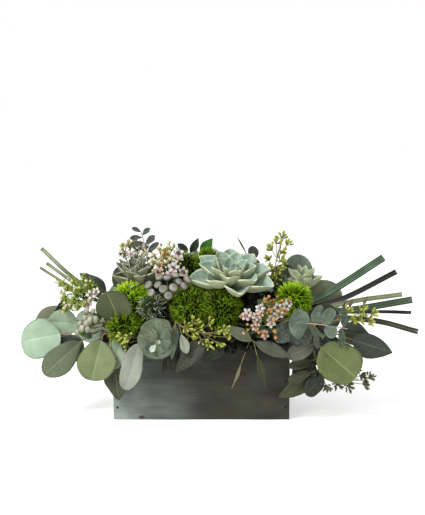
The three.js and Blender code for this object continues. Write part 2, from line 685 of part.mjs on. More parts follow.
function dianthusHead([centre, radii, foot], grow) {
  const entry = [foot[0] * 0.6 + centre[0] * 0.4, foot[1] * 0.6 + centre[1] * 0.4, FOAM_TOP];
  const path = stemPath([foot, entry, centre]);
  const head = ellipsoid(centre, radii, 1, grow).subtract(foam(GAP - grow));
  return join([stem(path, grow), head]);
}

function eryngiumHead({ centre, radius, stem: points }, grow) {
  return join([stem(stemPath(points), grow), ellipsoid(centre, [radius, radius, radius], 1, grow)]);
}

// Leaves stand round the axis at the golden angle: short and upright inside, long and flat outside.
function rosette(kind, grow) {
  const { centre, axis, radius, first, count, spread, share, inner, turn } = kind;
  const up = vec(axis).normalize();
  const right = new THREE.Vector3(1, 0, 0).addScaledVector(up, -up.x).normalize();
  const back = new THREE.Vector3().crossVectors(up, right);
  const middle = vec(centre);
  const parts = [ellipsoid(centre, [0.16 * radius, 0.16 * radius, 0.16 * radius], 1, grow)];
  for (let i = first; i < count; i++) {
    const f = (i + 0.5) / count;
    const angle = turn + i * GOLDEN_ANGLE;
    const lean = THREE.MathUtils.degToRad(THREE.MathUtils.lerp(spread[0], spread[1], f ** 0.8));
    const length = radius * THREE.MathUtils.lerp(inner, 1, f ** 0.75);
    const out = right.clone().multiplyScalar(Math.cos(angle)).addScaledVector(back, Math.sin(angle));
    const along = up.clone().multiplyScalar(Math.cos(lean)).addScaledVector(out, Math.sin(lean));
    const face = up.clone().multiplyScalar(Math.sin(lean)).addScaledVector(out, -Math.cos(lean));
    const base = middle.clone().addScaledVector(out, 0.06 * radius);
    base.addScaledVector(up, (0.5 - f) * 0.16 * radius);
    const tip = base.clone().addScaledVector(along, length);
    const curve = midrib(base, tip, face.toArray(), -0.1 * length);
    const shape = { width: share * length, thickness: 0.09 * length, outline: 'spoon' };
    parts.push(blade(stationsOf(curve, [0, 0.3, 0.65, 0.88, 1], shape), face.toArray(), grow));
  }
  return join(parts);
}

const pick = ({ pick: points }, grow) => stem(stemPath(points), grow, PICK_RADIUS);

// ---------------------------------------------------------------- box, liner and foam
function boxBoards(grow = 0) {
  const { length, depth, height, board, floor } = BOX;
  const side = (sign) => block(
    [length, board, height],
    [0, (sign * (depth - board)) / 2, height / 2],
    grow,
  );
  const end = (sign) => block(
    [board, depth - 2 * board - 2 * GAP, height],
    [(sign * (length - board)) / 2, 0, height / 2],
    grow,
  );
  return {
    front_panel: side(-1),
    back_panel: side(1),
    left_end_panel: end(-1),
    right_end_panel: end(1),
    bottom_board: block(
      [length - 2 * board - 2 * GAP, depth - 2 * board - 2 * GAP, floor],
      [0, 0, floor / 2],
      grow,
    ),
  };
}

const inner = (play) => [BOX.length, BOX.depth].map((size) => size - 2 * (BOX.board + play));

function liner() {
  const [length, depth] = inner(LINER.play);
  const outside = block([length, depth, LINER.height], [0, 0, LINER.base + LINER.height / 2]);
  const hollow = block(
    [length - 2 * LINER.wall, depth - 2 * LINER.wall, LINER.height],
    [0, 0, LINER.base + LINER.wall + LINER.height / 2],
  );
  return outside.subtract(hollow);
}

function foam(grow = 0) {
  const [length, depth] = inner(LINER.play + LINER.wall + GAP);
  const bottom = LINER.base + LINER.wall + GAP;
  return block([length, depth, FOAM_TOP - bottom], [0, 0, (FOAM_TOP + bottom) / 2], grow);
}

// ---------------------------------------------------------------- putting it together
// Pieces are placed in order. Each gives way to those already there, by the clearance, and only
// its largest body is kept.
const centrepiece = new THREE.Group();
const fixed = Object.values(boxBoards(GAP));

const boxesMeet = (a, b) => [0, 1, 2].every((k) => a.min[k] < b.max[k] && b.min[k] < a.max[k]);

function addMesh(name, material, solid) {
  const mesh = new THREE.Mesh(geometryOf(solid), MATERIALS[material]);
  mesh.name = name;
  centrepiece.add(mesh);
}

function place(name, material, build) {
  const whole = build(0);
  let solid = whole;
  for (const other of fixed) {
    if (boxesMeet(other.boundingBox(), whole.boundingBox())) solid = solid.subtract(other);
  }
  const pieces = solid.decompose().sort((a, b) => b.volume() - a.volume());
  addMesh(name, material, pieces[0]);
  fixed.push(build(GAP));
}

for (const [name, board] of Object.entries(boxBoards())) {
  addMesh(name, 'boards', board);
}
addMesh('liner', 'liner', liner());
for (const [name, kind] of Object.entries(ECHEVERIA)) {
  place(`pick_${name}`, 'pick', (grow) => pick(kind, grow));
}
for (const [name, kind] of Object.entries(EUCALYPTUS)) {
  place(name, kind.material, (grow) => branch(kind, grow));
}
for (const [name, kind] of Object.entries(BRUNIA)) {
  place(name, 'brunia', (grow) => bruniaStem(kind, grow));
}
place('eryngium', 'eryngium', (grow) => eryngiumHead(ERYNGIUM, grow));
for (const [name, kind] of Object.entries(WAXFLOWER)) {
  place(name, 'waxflower', (grow) => waxflowerSprig(kind, grow));
}
for (const [name, kind] of Object.entries(GRASS)) {
  place(name, kind.material, (grow) => grassBlade(kind, grow));
}
for (const [name, kind] of Object.entries(ECHEVERIA)) {
  place(`echeveria_${name}`, kind.material, (grow) => rosette(kind, grow));
}
for (const [name, kind] of Object.entries(DIANTHUS)) {
  place(name, 'dianthus', (grow) => dianthusHead(kind, grow));
}
place('foam_block', 'foam', () => foam());

export default centrepiece;
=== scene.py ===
# %% [markdown]
# # A wooden box of succulents, eucalyptus and green dianthus
# The imported CAD model already holds every stem, leaf and flower head as a simple solid. This notebook
# keeps those places and sizes and grows a finished piece over each solid. First the model is opened.

# %% Open the imported model
import math
import random

import bmesh
import bpy
import numpy as np
from mathutils import Matrix, Vector, noise


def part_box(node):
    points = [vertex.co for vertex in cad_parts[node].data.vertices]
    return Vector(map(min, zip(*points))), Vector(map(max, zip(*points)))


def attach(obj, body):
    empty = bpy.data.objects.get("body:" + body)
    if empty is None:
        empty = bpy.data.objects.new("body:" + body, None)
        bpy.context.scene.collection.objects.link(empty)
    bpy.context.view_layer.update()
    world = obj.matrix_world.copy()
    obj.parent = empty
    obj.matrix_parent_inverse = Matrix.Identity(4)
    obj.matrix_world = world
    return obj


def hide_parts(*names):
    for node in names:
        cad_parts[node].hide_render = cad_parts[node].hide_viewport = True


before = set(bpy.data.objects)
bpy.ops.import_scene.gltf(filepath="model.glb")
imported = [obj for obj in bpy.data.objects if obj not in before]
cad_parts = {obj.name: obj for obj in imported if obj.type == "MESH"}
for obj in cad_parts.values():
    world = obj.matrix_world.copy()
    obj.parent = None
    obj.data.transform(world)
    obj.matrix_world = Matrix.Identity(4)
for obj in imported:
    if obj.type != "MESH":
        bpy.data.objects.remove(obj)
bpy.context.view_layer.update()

MM = 0.001
FULL_TURN = 6.28
scene = bpy.context.scene

# %% [markdown]
# ## Camera
# A long lens, two metres away and nine degrees above level, keeps the box's edges nearly parallel.

# %% Camera
lens = bpy.data.cameras.new("front_camera")
lens.lens = 100
lens.sensor_width = 36
camera = bpy.data.objects.new("front_camera", lens)
camera.location = (0.015875, -2.065992, 0.554312)
camera.rotation_euler = (math.radians(81), 0, 0)
scene.collection.objects.link(camera)
scene.camera = camera
print("camera", tuple(round(v, 3) for v in camera.location))

# %% [markdown]
# ## Smooth paths
# Florists' stems bend without corners. A centripetal Catmull-Rom curve passes through a few chosen points
# without loops, and measuring it by its length lets us say "this leaf sits at 70 % of the stem".


# %% Smooth paths
class Path:
    """A smooth line through a few points, measured by its length."""

    def __init__(self, points):
        steps = 12
        knots = [Vector(p) for p in points]
        knots = [2 * knots[0] - knots[1], *knots, 2 * knots[-1] - knots[-2]]
        row = []
        for a, b, c, d in zip(knots, knots[1:], knots[2:], knots[3:]):
            da, db, dc = (math.sqrt((q - p).length) for p, q in ((a, b), (b, c), (c, d)))
            start = ((b - a) / da - (c - a) / (da + db) + (c - b) / db) * db
            end = ((c - b) / db - (d - b) / (db + dc) + (d - c) / dc) * db
            for t in np.arange(steps) / steps:
                bend = 3 * (c - b) - 2 * start - end
                row.append(b + start * t + bend * t * t + (2 * (b - c) + start + end) * t ** 3)
        self.row = np.array(row + [knots[-2]])
        self.reached = np.append(0, np.cumsum(np.linalg.norm(np.diff(self.row, axis=0), axis=1)))

    def at(self, share):
        """The point at a share of the length."""
        where = share * self.reached[-1]
        return Vector([np.interp(where, self.reached, self.row[:, k]) for k in range(3)])

    def fork(self, head):
        """Where the stalk of a small head leaves: a little below the nearest point of the upper half."""
        best = min(np.arange(0.5, 1.01, 0.05), key=lambda t: (self.at(t) - head).length)
        return self.at(max(0.4, best - 0.1))


print("a stem's middle:", tuple(round(v) for v in Path([(0, 0, 0), (0, 10, 40), (30, 20, 60)]).at(0.5)))

# %% [markdown]
# ## Blades
# A leaf is a closed, thin shell: a row of rings skinned from the petiole to the tip. Each ring runs along
# the upper side and back along the under side. Every point keeps its place on the leaf (across, along) as
# a UV map, so that veins can follow the blade, and a tint whose alpha says whether it is on the upper
# side.

# %% Outlines
OUTLINES = {
    "round": lambda t: math.sqrt(max(0, 1 - (2 * t - 1) ** 2)),
    "oval": lambda t: math.sin(math.pi * t ** 1.25) ** 0.5,
    "shield": lambda t: math.sin(math.pi * t ** 1.1) ** 0.42,
    "pointed": lambda t: math.sin(math.pi * t ** 0.8) ** 0.85,
    "lance": lambda t: math.sin(math.pi * t ** 0.8) ** 1.15,
    "spoon": lambda t: (0.36 + 0.64 * math.sin(2.38 * t) ** 1.3 if t < 0.66
                        else max(0, 1 - ((t - 0.66) / 0.34) ** 1.8) ** 0.72),
    "strap": lambda t: 0.45 + 0.55 * min(1, 2.5 * t),
}
FINE = (-1, -0.86, -0.62, -0.36, -0.1, 0, 0.1, 0.36, 0.62, 0.86, 1)
COARSE = (-1, -0.5, 0, 0.5, 1)
print("outlines:", *OUTLINES)


# %% Colours
def linear(code):
    """An sRGB hex colour as linear RGBA."""
    parts = [int(code[i:i + 2], 16) / 255 for i in (1, 3, 5)]
    return tuple(c / 12.92 if c <= 0.04045 else ((c + 0.055) / 1.055) ** 2.4 for c in parts) + (1.0,)


print("half grey in linear light:", round(linear("#808080")[0], 3))


# %% Shells
class Shells:
    """Closed shells gathered in millimetres for one mesh."""

    def __init__(self):
        self.points = []
        self.places = []
        self.tints = []
        self.faces = []
        self.kinds = []

    def loft(self, rings, ends, tint, kinds):
        """Skins rings of (point, place, is_upper); ends are the points that close them."""
        around = len(rings[0])
        first = len(self.points)
        closing = [(Vector(ends[0]), (0.5, 0), 1), (Vector(ends[1]), (0.5, 1), 1)]
        for point, place, upper in [corner for ring in rings for corner in ring] + closing:
            self.points.append(point)
            self.places.append(place)
            self.tints.append((*tint[:3], upper))
        for i, kind in enumerate(kinds):
            for k in range(around):
                a = first + i * around + k
                b = first + i * around + (k + 1) % around
                self.faces.append((a, b, b + around, a + around))
                self.kinds.append(kind)
        last = first + (len(rings) - 1) * around
        for k in range(around):
            n = (k + 1) % around
            self.faces.append((first + n, first + k, last + around))
            self.faces.append((last + k, last + n, last + around + 1))
            self.kinds += [kinds[0], kinds[-1]]

    def mesh(self, name, finishes):
        """The gathered shells as a mesh in metres, with faces outwards."""
        made = bpy.data.meshes.new(name)
        made.from_pydata([tuple(MM * c for c in p) for p in self.points], [], self.faces)
        for finish in finishes:
            made.materials.append(finish)
        made.polygons.foreach_set("material_index", self.kinds)
        made.polygons.foreach_set("use_smooth", [True] * len(self.faces))
        corner = np.empty(len(made.loops), dtype=np.int32)
        made.loops.foreach_get("vertex_index", corner)
        places = np.array(self.places, dtype=float)[corner]
        made.uv_layers.new(name="blade").uv.foreach_set("vector", places.ravel())
        tint = made.color_attributes.new("tint", "FLOAT_COLOR", "POINT")
        tint.data.foreach_set("color", np.array(self.tints, dtype=float).ravel())
        shape = bmesh.new()
        shape.from_mesh(made)
        bmesh.ops.recalc_face_normals(shape, faces=shape.faces)
        shape.to_mesh(made)
        shape.free()
        return made


# %% One blade
def add_blade(shells, base, tip, width, face, outline="round", tint="#5f6a57", seed=0, start=None, bow=3,
              thickness=0.8, neck=0.9, fold=0.11, cup=0.0, wave=0.085, ragged=0.055, blunt=0.45, across=FINE,
              spans=14):
    """One leaf, petal or scale. With a start, its petiole runs from there to the base of the blade."""
    base, tip, face = Vector(base), Vector(tip), Vector(face).normalized()
    crown = (base + tip) / 2 + face * 2 * bow
    rng = random.Random(seed)
    phase = rng.uniform(0, FULL_TURN)
    turns = rng.uniform(0.7, 1.5)
    lean = rng.uniform(-0.06, 0.06)
    order = [(s, 1) for s in across] + [(s, -1) for s in across[-2:0:-1]]
    rings = []
    kinds = []
    if start is not None:
        start = Vector(start)
        axis = (base - start).normalized()
        side = axis.cross(face).normalized()
        up = side.cross(axis)
        for share in (0, 0.35, 0.7, 0.96):
            middle = start.lerp(base, share)
            turned = [math.pi * k / (len(across) - 1) for k in range(len(order))]
            round_it = [middle + (up * math.sin(a) - side * math.cos(a)) * neck for a in turned]
            rings.append([(point, (0.5, 0), 1) for point in round_it])
            kinds.append(1)
    for i in range(spans):
        t = 0.5 - 0.5 * math.cos(math.pi * (i + 0.25) / (spans - 0.5))
        middle = base * (1 - t) ** 2 + crown * 2 * t * (1 - t) + tip * t * t
        along = ((crown - base) * (1 - t) + (tip - crown) * t).normalized()
        side = along.cross(face).normalized()
        up = side.cross(along)
        half = max(neck * (1 - t), OUTLINES[outline](t) * width / 2)
        opened = min(1, half / (0.22 * width))
        ring = []
        for s, upper in order:
            reach = half * (1 + lean * (1 if s > 0 else -1) + ragged * math.sin(7.5 * t + phase + 2 * s))
            lift = fold * half * (2 * abs(s) - 1) + cup * half * s * s * 2
            lift += wave * width * s * s * math.sin(2 * math.pi * turns * t + phase + 1.7 * s)
            lift -= 0.014 * width * math.exp(-(s / 0.12) ** 2) * (1 - 0.6 * t)
            plump = thickness * (blunt + (1 - blunt) * math.sqrt(1 - s * s) * min(1, 1.6 * (1 - t) + 0.3))
            rise = lift * opened + (upper * plump / 2 if abs(s) < 1 else 0)
            ring.append((middle + side * reach * s + up * rise, ((s + 1) / 2, t), 1 if upper > 0 else 0))
        rings.append(ring)
        kinds.append(0)
    foot = rings[0][0][0].lerp(rings[0][len(across) - 1][0], 0.5)
    shells.loft(rings, (foot, tip), linear(tint), kinds[:-1])


trial = Shells()
add_blade(trial, (0, 0, 0), (50, 0, 0), 50, (0, 0, 1), start=(-20, 0, 0))
print("one eucalyptus leaf:", len(trial.faces), "faces")

# %% [markdown]
# ## One helper for nodes
# Shader trees and Geometry Nodes trees are built the same way: add a node, set its properties, and give
# each input a value or a link. A finish starts from a Principled shader whose even numbers sit on its own
# sockets. Where a node has several inputs of one name, a number picks one: on a colour mix 0 is the share
# and 6 and 7 are the colours, and its result is output 2; on a random value 2 and 3 are the limits, and
# its result is output 1.


# %% Node helpers
def feed(tree, node, inputs):
    """Gives each input of a node a value, or a link from the node or socket that feeds it."""
    for name, value in inputs.items():
        if isinstance(value, bpy.types.Node):
            value = value.outputs[0]
        if isinstance(value, bpy.types.NodeSocket):
            tree.links.new(value, node.inputs[name])
        else:
            node.inputs[name].default_value = value


def add_node(tree, kind, inputs=None, **settings):
    """Adds a node with its settings and its inputs."""
    made = tree.nodes.new(kind)
    for name, value in settings.items():
        setattr(made, name, value)
    feed(tree, made, inputs or {})
    return made


def new_finish(name, even):
    """A material, its tree and its shader, with the shader's even numbers set."""
    made = bpy.data.materials.new(name)
    made.use_nodes = True
    shader = made.node_tree.nodes["Principled BSDF"]
    feed(made.node_tree, shader, even)
    return made, made.node_tree, shader


sample = bpy.data.node_groups.new("sample", "GeometryNodeTree")
for kind, numbers in (("ShaderNodeMix", (0, 6, 7)), ("FunctionNodeRandomValue", (2, 3))):
    shown = add_node(sample, kind)
    print(kind, {number: shown.inputs[number].name for number in numbers})
bpy.data.node_groups.remove(sample)

# %% [markdown]
# ## Weathered pine
# The box is rough-sawn pine left outdoors until it turned grey-green. Rain washes out the soft early
# wood, so dark grain lines a couple of millimetres apart run the length of each board, and they flow
# round the knots. The noise is stretched 25 times along the grain, and a knot pushes the grain apart
# before it is sampled.

# %% Knots and streaks
# All in millimetres. A knot is ((x, z), radius); the second is a dark crack at the board's lower edge.
KNOTS = [((54, 70), 6), ((-86, 4), 3)]
GRAIN_APART, GRAIN_LENGTH = 1.8, 45
BAND_APART, BAND_LENGTH = 30, 120


def push_round_knots(tree, place, knots):
    """The place to read the grain at, pushed round each knot, and the share of dark knot wood there."""
    core = None
    for (x, z), radius_mm in knots:
        radius = radius_mm * MM
        offset = add_node(tree, "ShaderNodeVectorMath", {
            0: place, 1: (x * MM, 0, z * MM),
        }, operation="SUBTRACT")
        flat = add_node(tree, "ShaderNodeVectorMath", {0: offset, 1: (0.45, 0, 1)}, operation="MULTIPLY")
        reach = add_node(tree, "ShaderNodeVectorMath", {0: flat}, operation="LENGTH").outputs["Value"]
        near = add_node(tree, "ShaderNodeMapRange", {
            "Value": reach, "From Min": 0.5 * radius, "From Max": 3.2 * radius, "To Min": 0.85, "To Max": 0,
        }, interpolation_type="SMOOTHSTEP")
        push = add_node(tree, "ShaderNodeVectorMath", {0: flat, 1: (0, 0, 1)}, operation="MULTIPLY")
        moved = add_node(tree, "ShaderNodeVectorMath", {0: push, "Scale": near}, operation="SCALE")
        place = add_node(tree, "ShaderNodeVectorMath", {
            0: place, 1: moved,
        }, operation="SUBTRACT").outputs[0]
        heart = add_node(tree, "ShaderNodeMapRange", {
            "Value": reach, "From Min": 0.1 * radius, "From Max": 1.2 * radius, "To Min": 1, "To Max": 0,
        }, interpolation_type="SMOOTHSTEP")
        if core is not None:
            heart = add_node(tree, "ShaderNodeMath", {0: core, 1: heart}, operation="MAXIMUM")
        core = heart
    return place, core


def streaks(apart, length, axis):
    """The noise scale, per metre, for streaks that far apart and that long along one axis."""
    scale = [1 / (apart * MM)] * 3
    scale[axis] = 1 / (length * MM)
    return scale


print("grain per metre along x, y and z:", [round(v) for v in streaks(GRAIN_APART, GRAIN_LENGTH, 0)])


# %% Weathered pine
def painted_light_low_left(tree, spot, bands):
    """Painted light: the share of paler wood, more towards the left end and the foot, in patches."""
    toward_left_end = add_node(tree, "ShaderNodeMapRange", {
        "Value": spot.outputs["X"], "From Min": 0.02, "From Max": -0.13, "To Min": 0, "To Max": 1,
    }, interpolation_type="SMOOTHSTEP")
    toward_foot = add_node(tree, "ShaderNodeMapRange", {
        "Value": spot.outputs["Z"], "From Min": 0.07, "From Max": 0.005, "To Min": 0.35, "To Max": 1,
    }, interpolation_type="SMOOTHSTEP")
    left_and_low = add_node(tree, "ShaderNodeMath", {0: toward_left_end, 1: toward_foot}, operation="MULTIPLY")
    patchy = add_node(tree, "ShaderNodeMapRange", {
        "Value": bands, "From Min": 0.3, "From Max": 0.6, "To Min": 0.4,
    })
    return add_node(tree, "ShaderNodeMath", {0: left_and_low, 1: patchy}, operation="MULTIPLY")


def weathered_pine(name, grain_axis, knots):
    """Grey weathered pine with its grain along one axis: 0 for X and 1 for Y."""
    made, tree, shader = new_finish(name, {"IOR": 1.5, "Specular IOR Level": 0.2})
    place = add_node(tree, "ShaderNodeTexCoord").outputs["Object"]
    spot = add_node(tree, "ShaderNodeSeparateXYZ", {0: place})
    place, core = push_round_knots(tree, place, knots)
    grain_place = add_node(tree, "ShaderNodeMapping", {
        "Vector": place, "Scale": streaks(GRAIN_APART, GRAIN_LENGTH, grain_axis),
    })
    grain = add_node(tree, "ShaderNodeTexNoise", {
        "Vector": grain_place, "Scale": 1.0, "Detail": 5.0, "Roughness": 0.62, "Distortion": 0.4,
    })
    band_place = add_node(tree, "ShaderNodeMapping", {
        "Vector": place, "Scale": streaks(BAND_APART, BAND_LENGTH, grain_axis),
    })
    bands = add_node(tree, "ShaderNodeTexNoise", {"Vector": band_place, "Scale": 1.0, "Detail": 4.0})
    wood = add_node(tree, "ShaderNodeValToRGB", {"Fac": bands})
    for position, code in ((0.30, "#2b2a25"), (0.46, "#302f2a"), (0.58, "#38372f"), (0.76, "#43423a")):
        stop = wood.color_ramp.elements.new(position)
        stop.color = linear(code)
    wood.color_ramp.elements.remove(wood.color_ramp.elements[0])
    wood.color_ramp.elements.remove(wood.color_ramp.elements[-1])
    # Painted light and shade: paler towards the left end and the foot, so the top and the right stay darker,
    # as under the foliage.
    painted_light_share = painted_light_low_left(tree, spot, bands)
    pale = add_node(tree, "ShaderNodeMix", {0: painted_light_share, 6: wood, 7: linear("#98a39c")}, data_type="RGBA")
    lines = add_node(tree, "ShaderNodeMapRange", {
        "Value": grain, "From Min": 0.36, "From Max": 0.58, "To Min": 0.9, "To Max": 1.03,
    })
    lined = add_node(tree, "ShaderNodeVectorMath", {0: pale.outputs[2], "Scale": lines}, operation="SCALE")
    # Damp stains are about 50 mm wide.
    stain = add_node(tree, "ShaderNodeTexNoise", {"Vector": place, "Scale": 20.0, "Detail": 4.0})
    damp = add_node(tree, "ShaderNodeMapRange", {
        "Value": stain, "From Min": 0.48, "From Max": 0.7, "To Min": 0, "To Max": 0.4,
    })
    mossy = add_node(tree, "ShaderNodeMix", {0: damp, 6: lined, 7: linear("#43473a")}, data_type="RGBA")
    colour = mossy.outputs[2]
    if core is not None:
        dark = add_node(tree, "ShaderNodeMath", {0: core, 1: 0.95}, operation="MULTIPLY")
        resin = add_node(tree, "ShaderNodeMix", {
            0: dark, 6: colour, 7: linear("#35200d"),
        }, data_type="RGBA")
        colour = resin.outputs[2]
    rough = add_node(tree, "ShaderNodeMapRange", {"Value": grain, "To Min": 0.95, "To Max": 0.75})
    bump = add_node(tree, "ShaderNodeBump", {"Height": grain, "Strength": 0.4, "Distance": 0.0005})
    feed(tree, shader, {"Base Color": colour, "Roughness": rough, "Normal": bump})
    return made


# %% Pine for the boards
pine_long = weathered_pine("weathered_pine_long_boards", 0, KNOTS)
pine_end = weathered_pine("weathered_pine_end_boards", 1, [])
print("pine finishes:", pine_long.name, pine_end.name)

# %% [markdown]
# ## Leaf skins
# One recipe serves every flat leaf. The tint gives each leaf its own green, the under side has a colour of
# its own, the midrib and the side veins are drawn from the blade's own coordinates, and a waxy bloom in
# patches of a few millimetres clouds the surface, as on real eucalyptus. The wax also makes it matt;
# ruscus has hardly any bloom and shines.


# %% Veins
def vein_lines(tree, spot, off, cloud, strength, veins):
    """How strongly the midrib and the side veins show; off is how far a place is from the midrib."""
    midrib = add_node(tree, "ShaderNodeMapRange", {
        "Value": off, "From Min": 0.006, "From Max": 0.028, "To Min": strength, "To Max": 0,
    }, interpolation_type="SMOOTHSTEP")
    stray = add_node(tree, "ShaderNodeMath", {0: cloud, 1: 2.2}, operation="MULTIPLY")
    rise = add_node(tree, "ShaderNodeMath", {0: off, 1: -veins[1], 2: stray}, operation="MULTIPLY_ADD")
    run = add_node(tree, "ShaderNodeMath", {
        0: spot.outputs["Y"], 1: veins[0], 2: rise,
    }, operation="MULTIPLY_ADD")
    between = add_node(tree, "ShaderNodeMath", {0: run, 1: 0.5}, operation="PINGPONG")
    side_vein = add_node(tree, "ShaderNodeMapRange", {
        "Value": between, "From Min": 0, "From Max": 0.09, "To Min": strength * 0.22, "To Max": 0,
    }, interpolation_type="SMOOTHSTEP")
    return add_node(tree, "ShaderNodeMath", {0: midrib, 1: side_vein}, operation="MAXIMUM")


# %% A leaf's skin
def leaf_skin(name, vein, veins, bloom, roughness, speck=0.0, under=("#7b8672", 0.4), patchy=0.1):
    """vein, bloom and under are (colour, share); veins is how many side veins there are and how they rise."""
    made, tree, shader = new_finish(name, {"IOR": 1.45, "Specular IOR Level": 0.35})
    tint = add_node(tree, "ShaderNodeAttribute", attribute_name="tint")
    place = add_node(tree, "ShaderNodeTexCoord").outputs["Object"]
    spot = add_node(tree, "ShaderNodeSeparateXYZ", {0: add_node(tree, "ShaderNodeUVMap", uv_map="blade")})
    centred = add_node(tree, "ShaderNodeMath", {0: spot.outputs["X"], 1: 0.5}, operation="SUBTRACT")
    off = add_node(tree, "ShaderNodeMath", {0: centred}, operation="ABSOLUTE")
    # Clouds are about 17 mm wide, patches of wax 3 mm, and oil dots sit 2.4 mm apart.
    cloud = add_node(tree, "ShaderNodeTexNoise", {"Vector": place, "Scale": 60.0, "Detail": 2.0})
    shift = add_node(tree, "ShaderNodeMapRange", {
        "Value": cloud, "From Min": 0.35, "From Max": 0.65, "To Min": 1 - patchy, "To Max": 1 + patchy,
    })
    body = add_node(tree, "ShaderNodeVectorMath", {
        0: tint.outputs["Color"], "Scale": shift,
    }, operation="SCALE")
    wax = add_node(tree, "ShaderNodeTexNoise", {
        "Vector": place, "Scale": 330.0, "Detail": 4.0, "Roughness": 0.6,
    })
    waxed = add_node(tree, "ShaderNodeMapRange", {
        "Value": wax, "From Min": 0.42, "From Max": 0.7, "To Min": 0, "To Max": bloom[1],
    })
    dusted = add_node(tree, "ShaderNodeMix", {0: waxed, 6: body, 7: linear(bloom[0])}, data_type="RGBA")
    lines = vein_lines(tree, spot, off, cloud, vein[1], veins)
    fresh = add_node(tree, "ShaderNodeVectorMath", {0: body, "Scale": 1.7}, operation="SCALE")
    pith = add_node(tree, "ShaderNodeMix", {0: 0.35, 6: fresh, 7: linear(vein[0])}, data_type="RGBA")
    veined = add_node(tree, "ShaderNodeMix", {
        0: lines, 6: dusted.outputs[2], 7: pith.outputs[2],
    }, data_type="RGBA")
    edge = add_node(tree, "ShaderNodeMapRange", {
        "Value": off, "From Min": 0.475, "From Max": 0.5, "To Min": 0, "To Max": 0.35,
    }, interpolation_type="SMOOTHSTEP")
    rimmed = add_node(tree, "ShaderNodeMix", {
        0: edge, 6: veined.outputs[2], 7: linear("#8d8f6c"),
    }, data_type="RGBA")
    dots = add_node(tree, "ShaderNodeTexVoronoi", {"Vector": place, "Scale": 420.0})
    dotted = add_node(tree, "ShaderNodeMapRange", {
        "Value": dots, "From Min": 0.12, "From Max": 0.26, "To Min": speck, "To Max": 0,
    })
    spotted = add_node(tree, "ShaderNodeMix", {
        0: dotted, 6: rimmed.outputs[2], 7: linear("#a3aa90"),
    }, data_type="RGBA")
    below = add_node(tree, "ShaderNodeMapRange", {
        "Value": tint.outputs["Alpha"], "From Min": 0.2, "From Max": 0.8, "To Min": under[1], "To Max": 0,
    })
    colour = add_node(tree, "ShaderNodeMix", {
        0: below, 6: spotted.outputs[2], 7: linear(under[0]),
    }, data_type="RGBA")
    relief = add_node(tree, "ShaderNodeMath", {0: lines, 1: -0.7, 2: wax}, operation="MULTIPLY_ADD")
    bump = add_node(tree, "ShaderNodeBump", {"Height": relief, "Strength": 0.25, "Distance": 0.0004})
    matt = add_node(tree, "ShaderNodeMapRange", {
        "Value": wax, "From Min": 0.35, "From Max": 0.65,
        "To Min": roughness - 0.1, "To Max": roughness + 0.12,
    })
    feed(tree, shader, {"Base Color": colour.outputs[2], "Roughness": matt, "Normal": bump})
    return made


# %% Leaf skins
# Wax-coated leaves of silver dollar eucalyptus: matt, clouded, with a yellow-green midrib.
dollar_skin = leaf_skin("silver_dollar_leaf_waxed", ("#a9ab78", 0.6), (6, 7), ("#a3ac98", 0.06), 0.5)
# Young eucalyptus pulverulenta is dusted so thickly with wax that its blue-green looks mottled.
baby_skin = leaf_skin("baby_eucalyptus_leaf_bloomed", ("#93a08a", 0.5), (6, 8), ("#98a592", 0.3), 0.55, 0.06,
                      patchy=0.28)
# Seeded eucalyptus has thinner, greyer lances with pale oil dots.
seeded_skin = leaf_skin("seeded_eucalyptus_leaf_dotted", ("#8b8a66", 0.5), (14, 12), ("#98a08a", 0.08),
                        0.58, 0.05)
# Ruscus and box-like foliage: leathery and glossy, with hardly any bloom.
ruscus_skin = leaf_skin("ruscus_leaf_leathery", ("#5f8048", 0.5), (16, 10), ("#7d9873", 0.05), 0.32)
print("leaf skins:", dollar_skin.name, baby_skin.name, seeded_skin.name, ruscus_skin.name)

# %% [markdown]
# ## Stems, petals, fruits and foam
# Smaller things need simpler skins, but never one flat colour. Each takes a base and a second colour that
# a noise of real size mixes in; along the blade a third colour can take over, as on a filament that is
# painted dark at its foot, as shade in the depth of the head, and bright at its tip. A number called shade,
# different for each grown copy, keeps neighbours apart; on a brush it is painted shade in the clefts
# between tufts.


# %% A small finish
def small_finish(name, colours, grain_mm, roughness, along=None, relief_mm=0.3, tinted=False, mix=0.85,
                 gloss=0.3):
    """colours is (base, second), along lists (place, colour), and tinted takes the base from the tint."""
    made, tree, shader = new_finish(name, {
        "IOR": 1.45, "Specular IOR Level": gloss, "Roughness": roughness,
    })
    place = add_node(tree, "ShaderNodeTexCoord").outputs["Object"]
    grain = add_node(tree, "ShaderNodeTexNoise", {
        "Vector": place, "Scale": 1 / (grain_mm * MM), "Detail": 3.0,
    })
    share = add_node(tree, "ShaderNodeMapRange", {
        "Value": grain, "From Min": 0.38, "From Max": 0.62, "To Min": 0, "To Max": mix,
    })
    base = linear(colours[0])
    if tinted:
        base = add_node(tree, "ShaderNodeAttribute", attribute_name="tint").outputs["Color"]
    if along:
        spot = add_node(tree, "ShaderNodeSeparateXYZ", {
            0: add_node(tree, "ShaderNodeUVMap", uv_map="blade"),
        })
        ramp = add_node(tree, "ShaderNodeValToRGB", {"Fac": spot.outputs["Y"]})
        for position, _ in along[1:-1]:
            ramp.color_ramp.elements.new(position)
        for stop, (_, code) in zip(ramp.color_ramp.elements, along):
            stop.color = linear(code)
        base = ramp.outputs["Color"]
    mixed = add_node(tree, "ShaderNodeMix", {0: share, 6: base, 7: linear(colours[1])}, data_type="RGBA")
    shade = add_node(tree, "ShaderNodeAttribute", attribute_name="shade").outputs["Fac"]
    bright = add_node(tree, "ShaderNodeMapRange", {"Value": shade, "To Min": 1, "To Max": 0.5})
    colour = add_node(tree, "ShaderNodeVectorMath", {
        0: mixed.outputs[2], "Scale": bright,
    }, operation="SCALE")
    bump = add_node(tree, "ShaderNodeBump", {"Height": grain, "Strength": 0.5, "Distance": relief_mm * MM})
    feed(tree, shader, {"Base Color": colour, "Normal": bump})
    return made


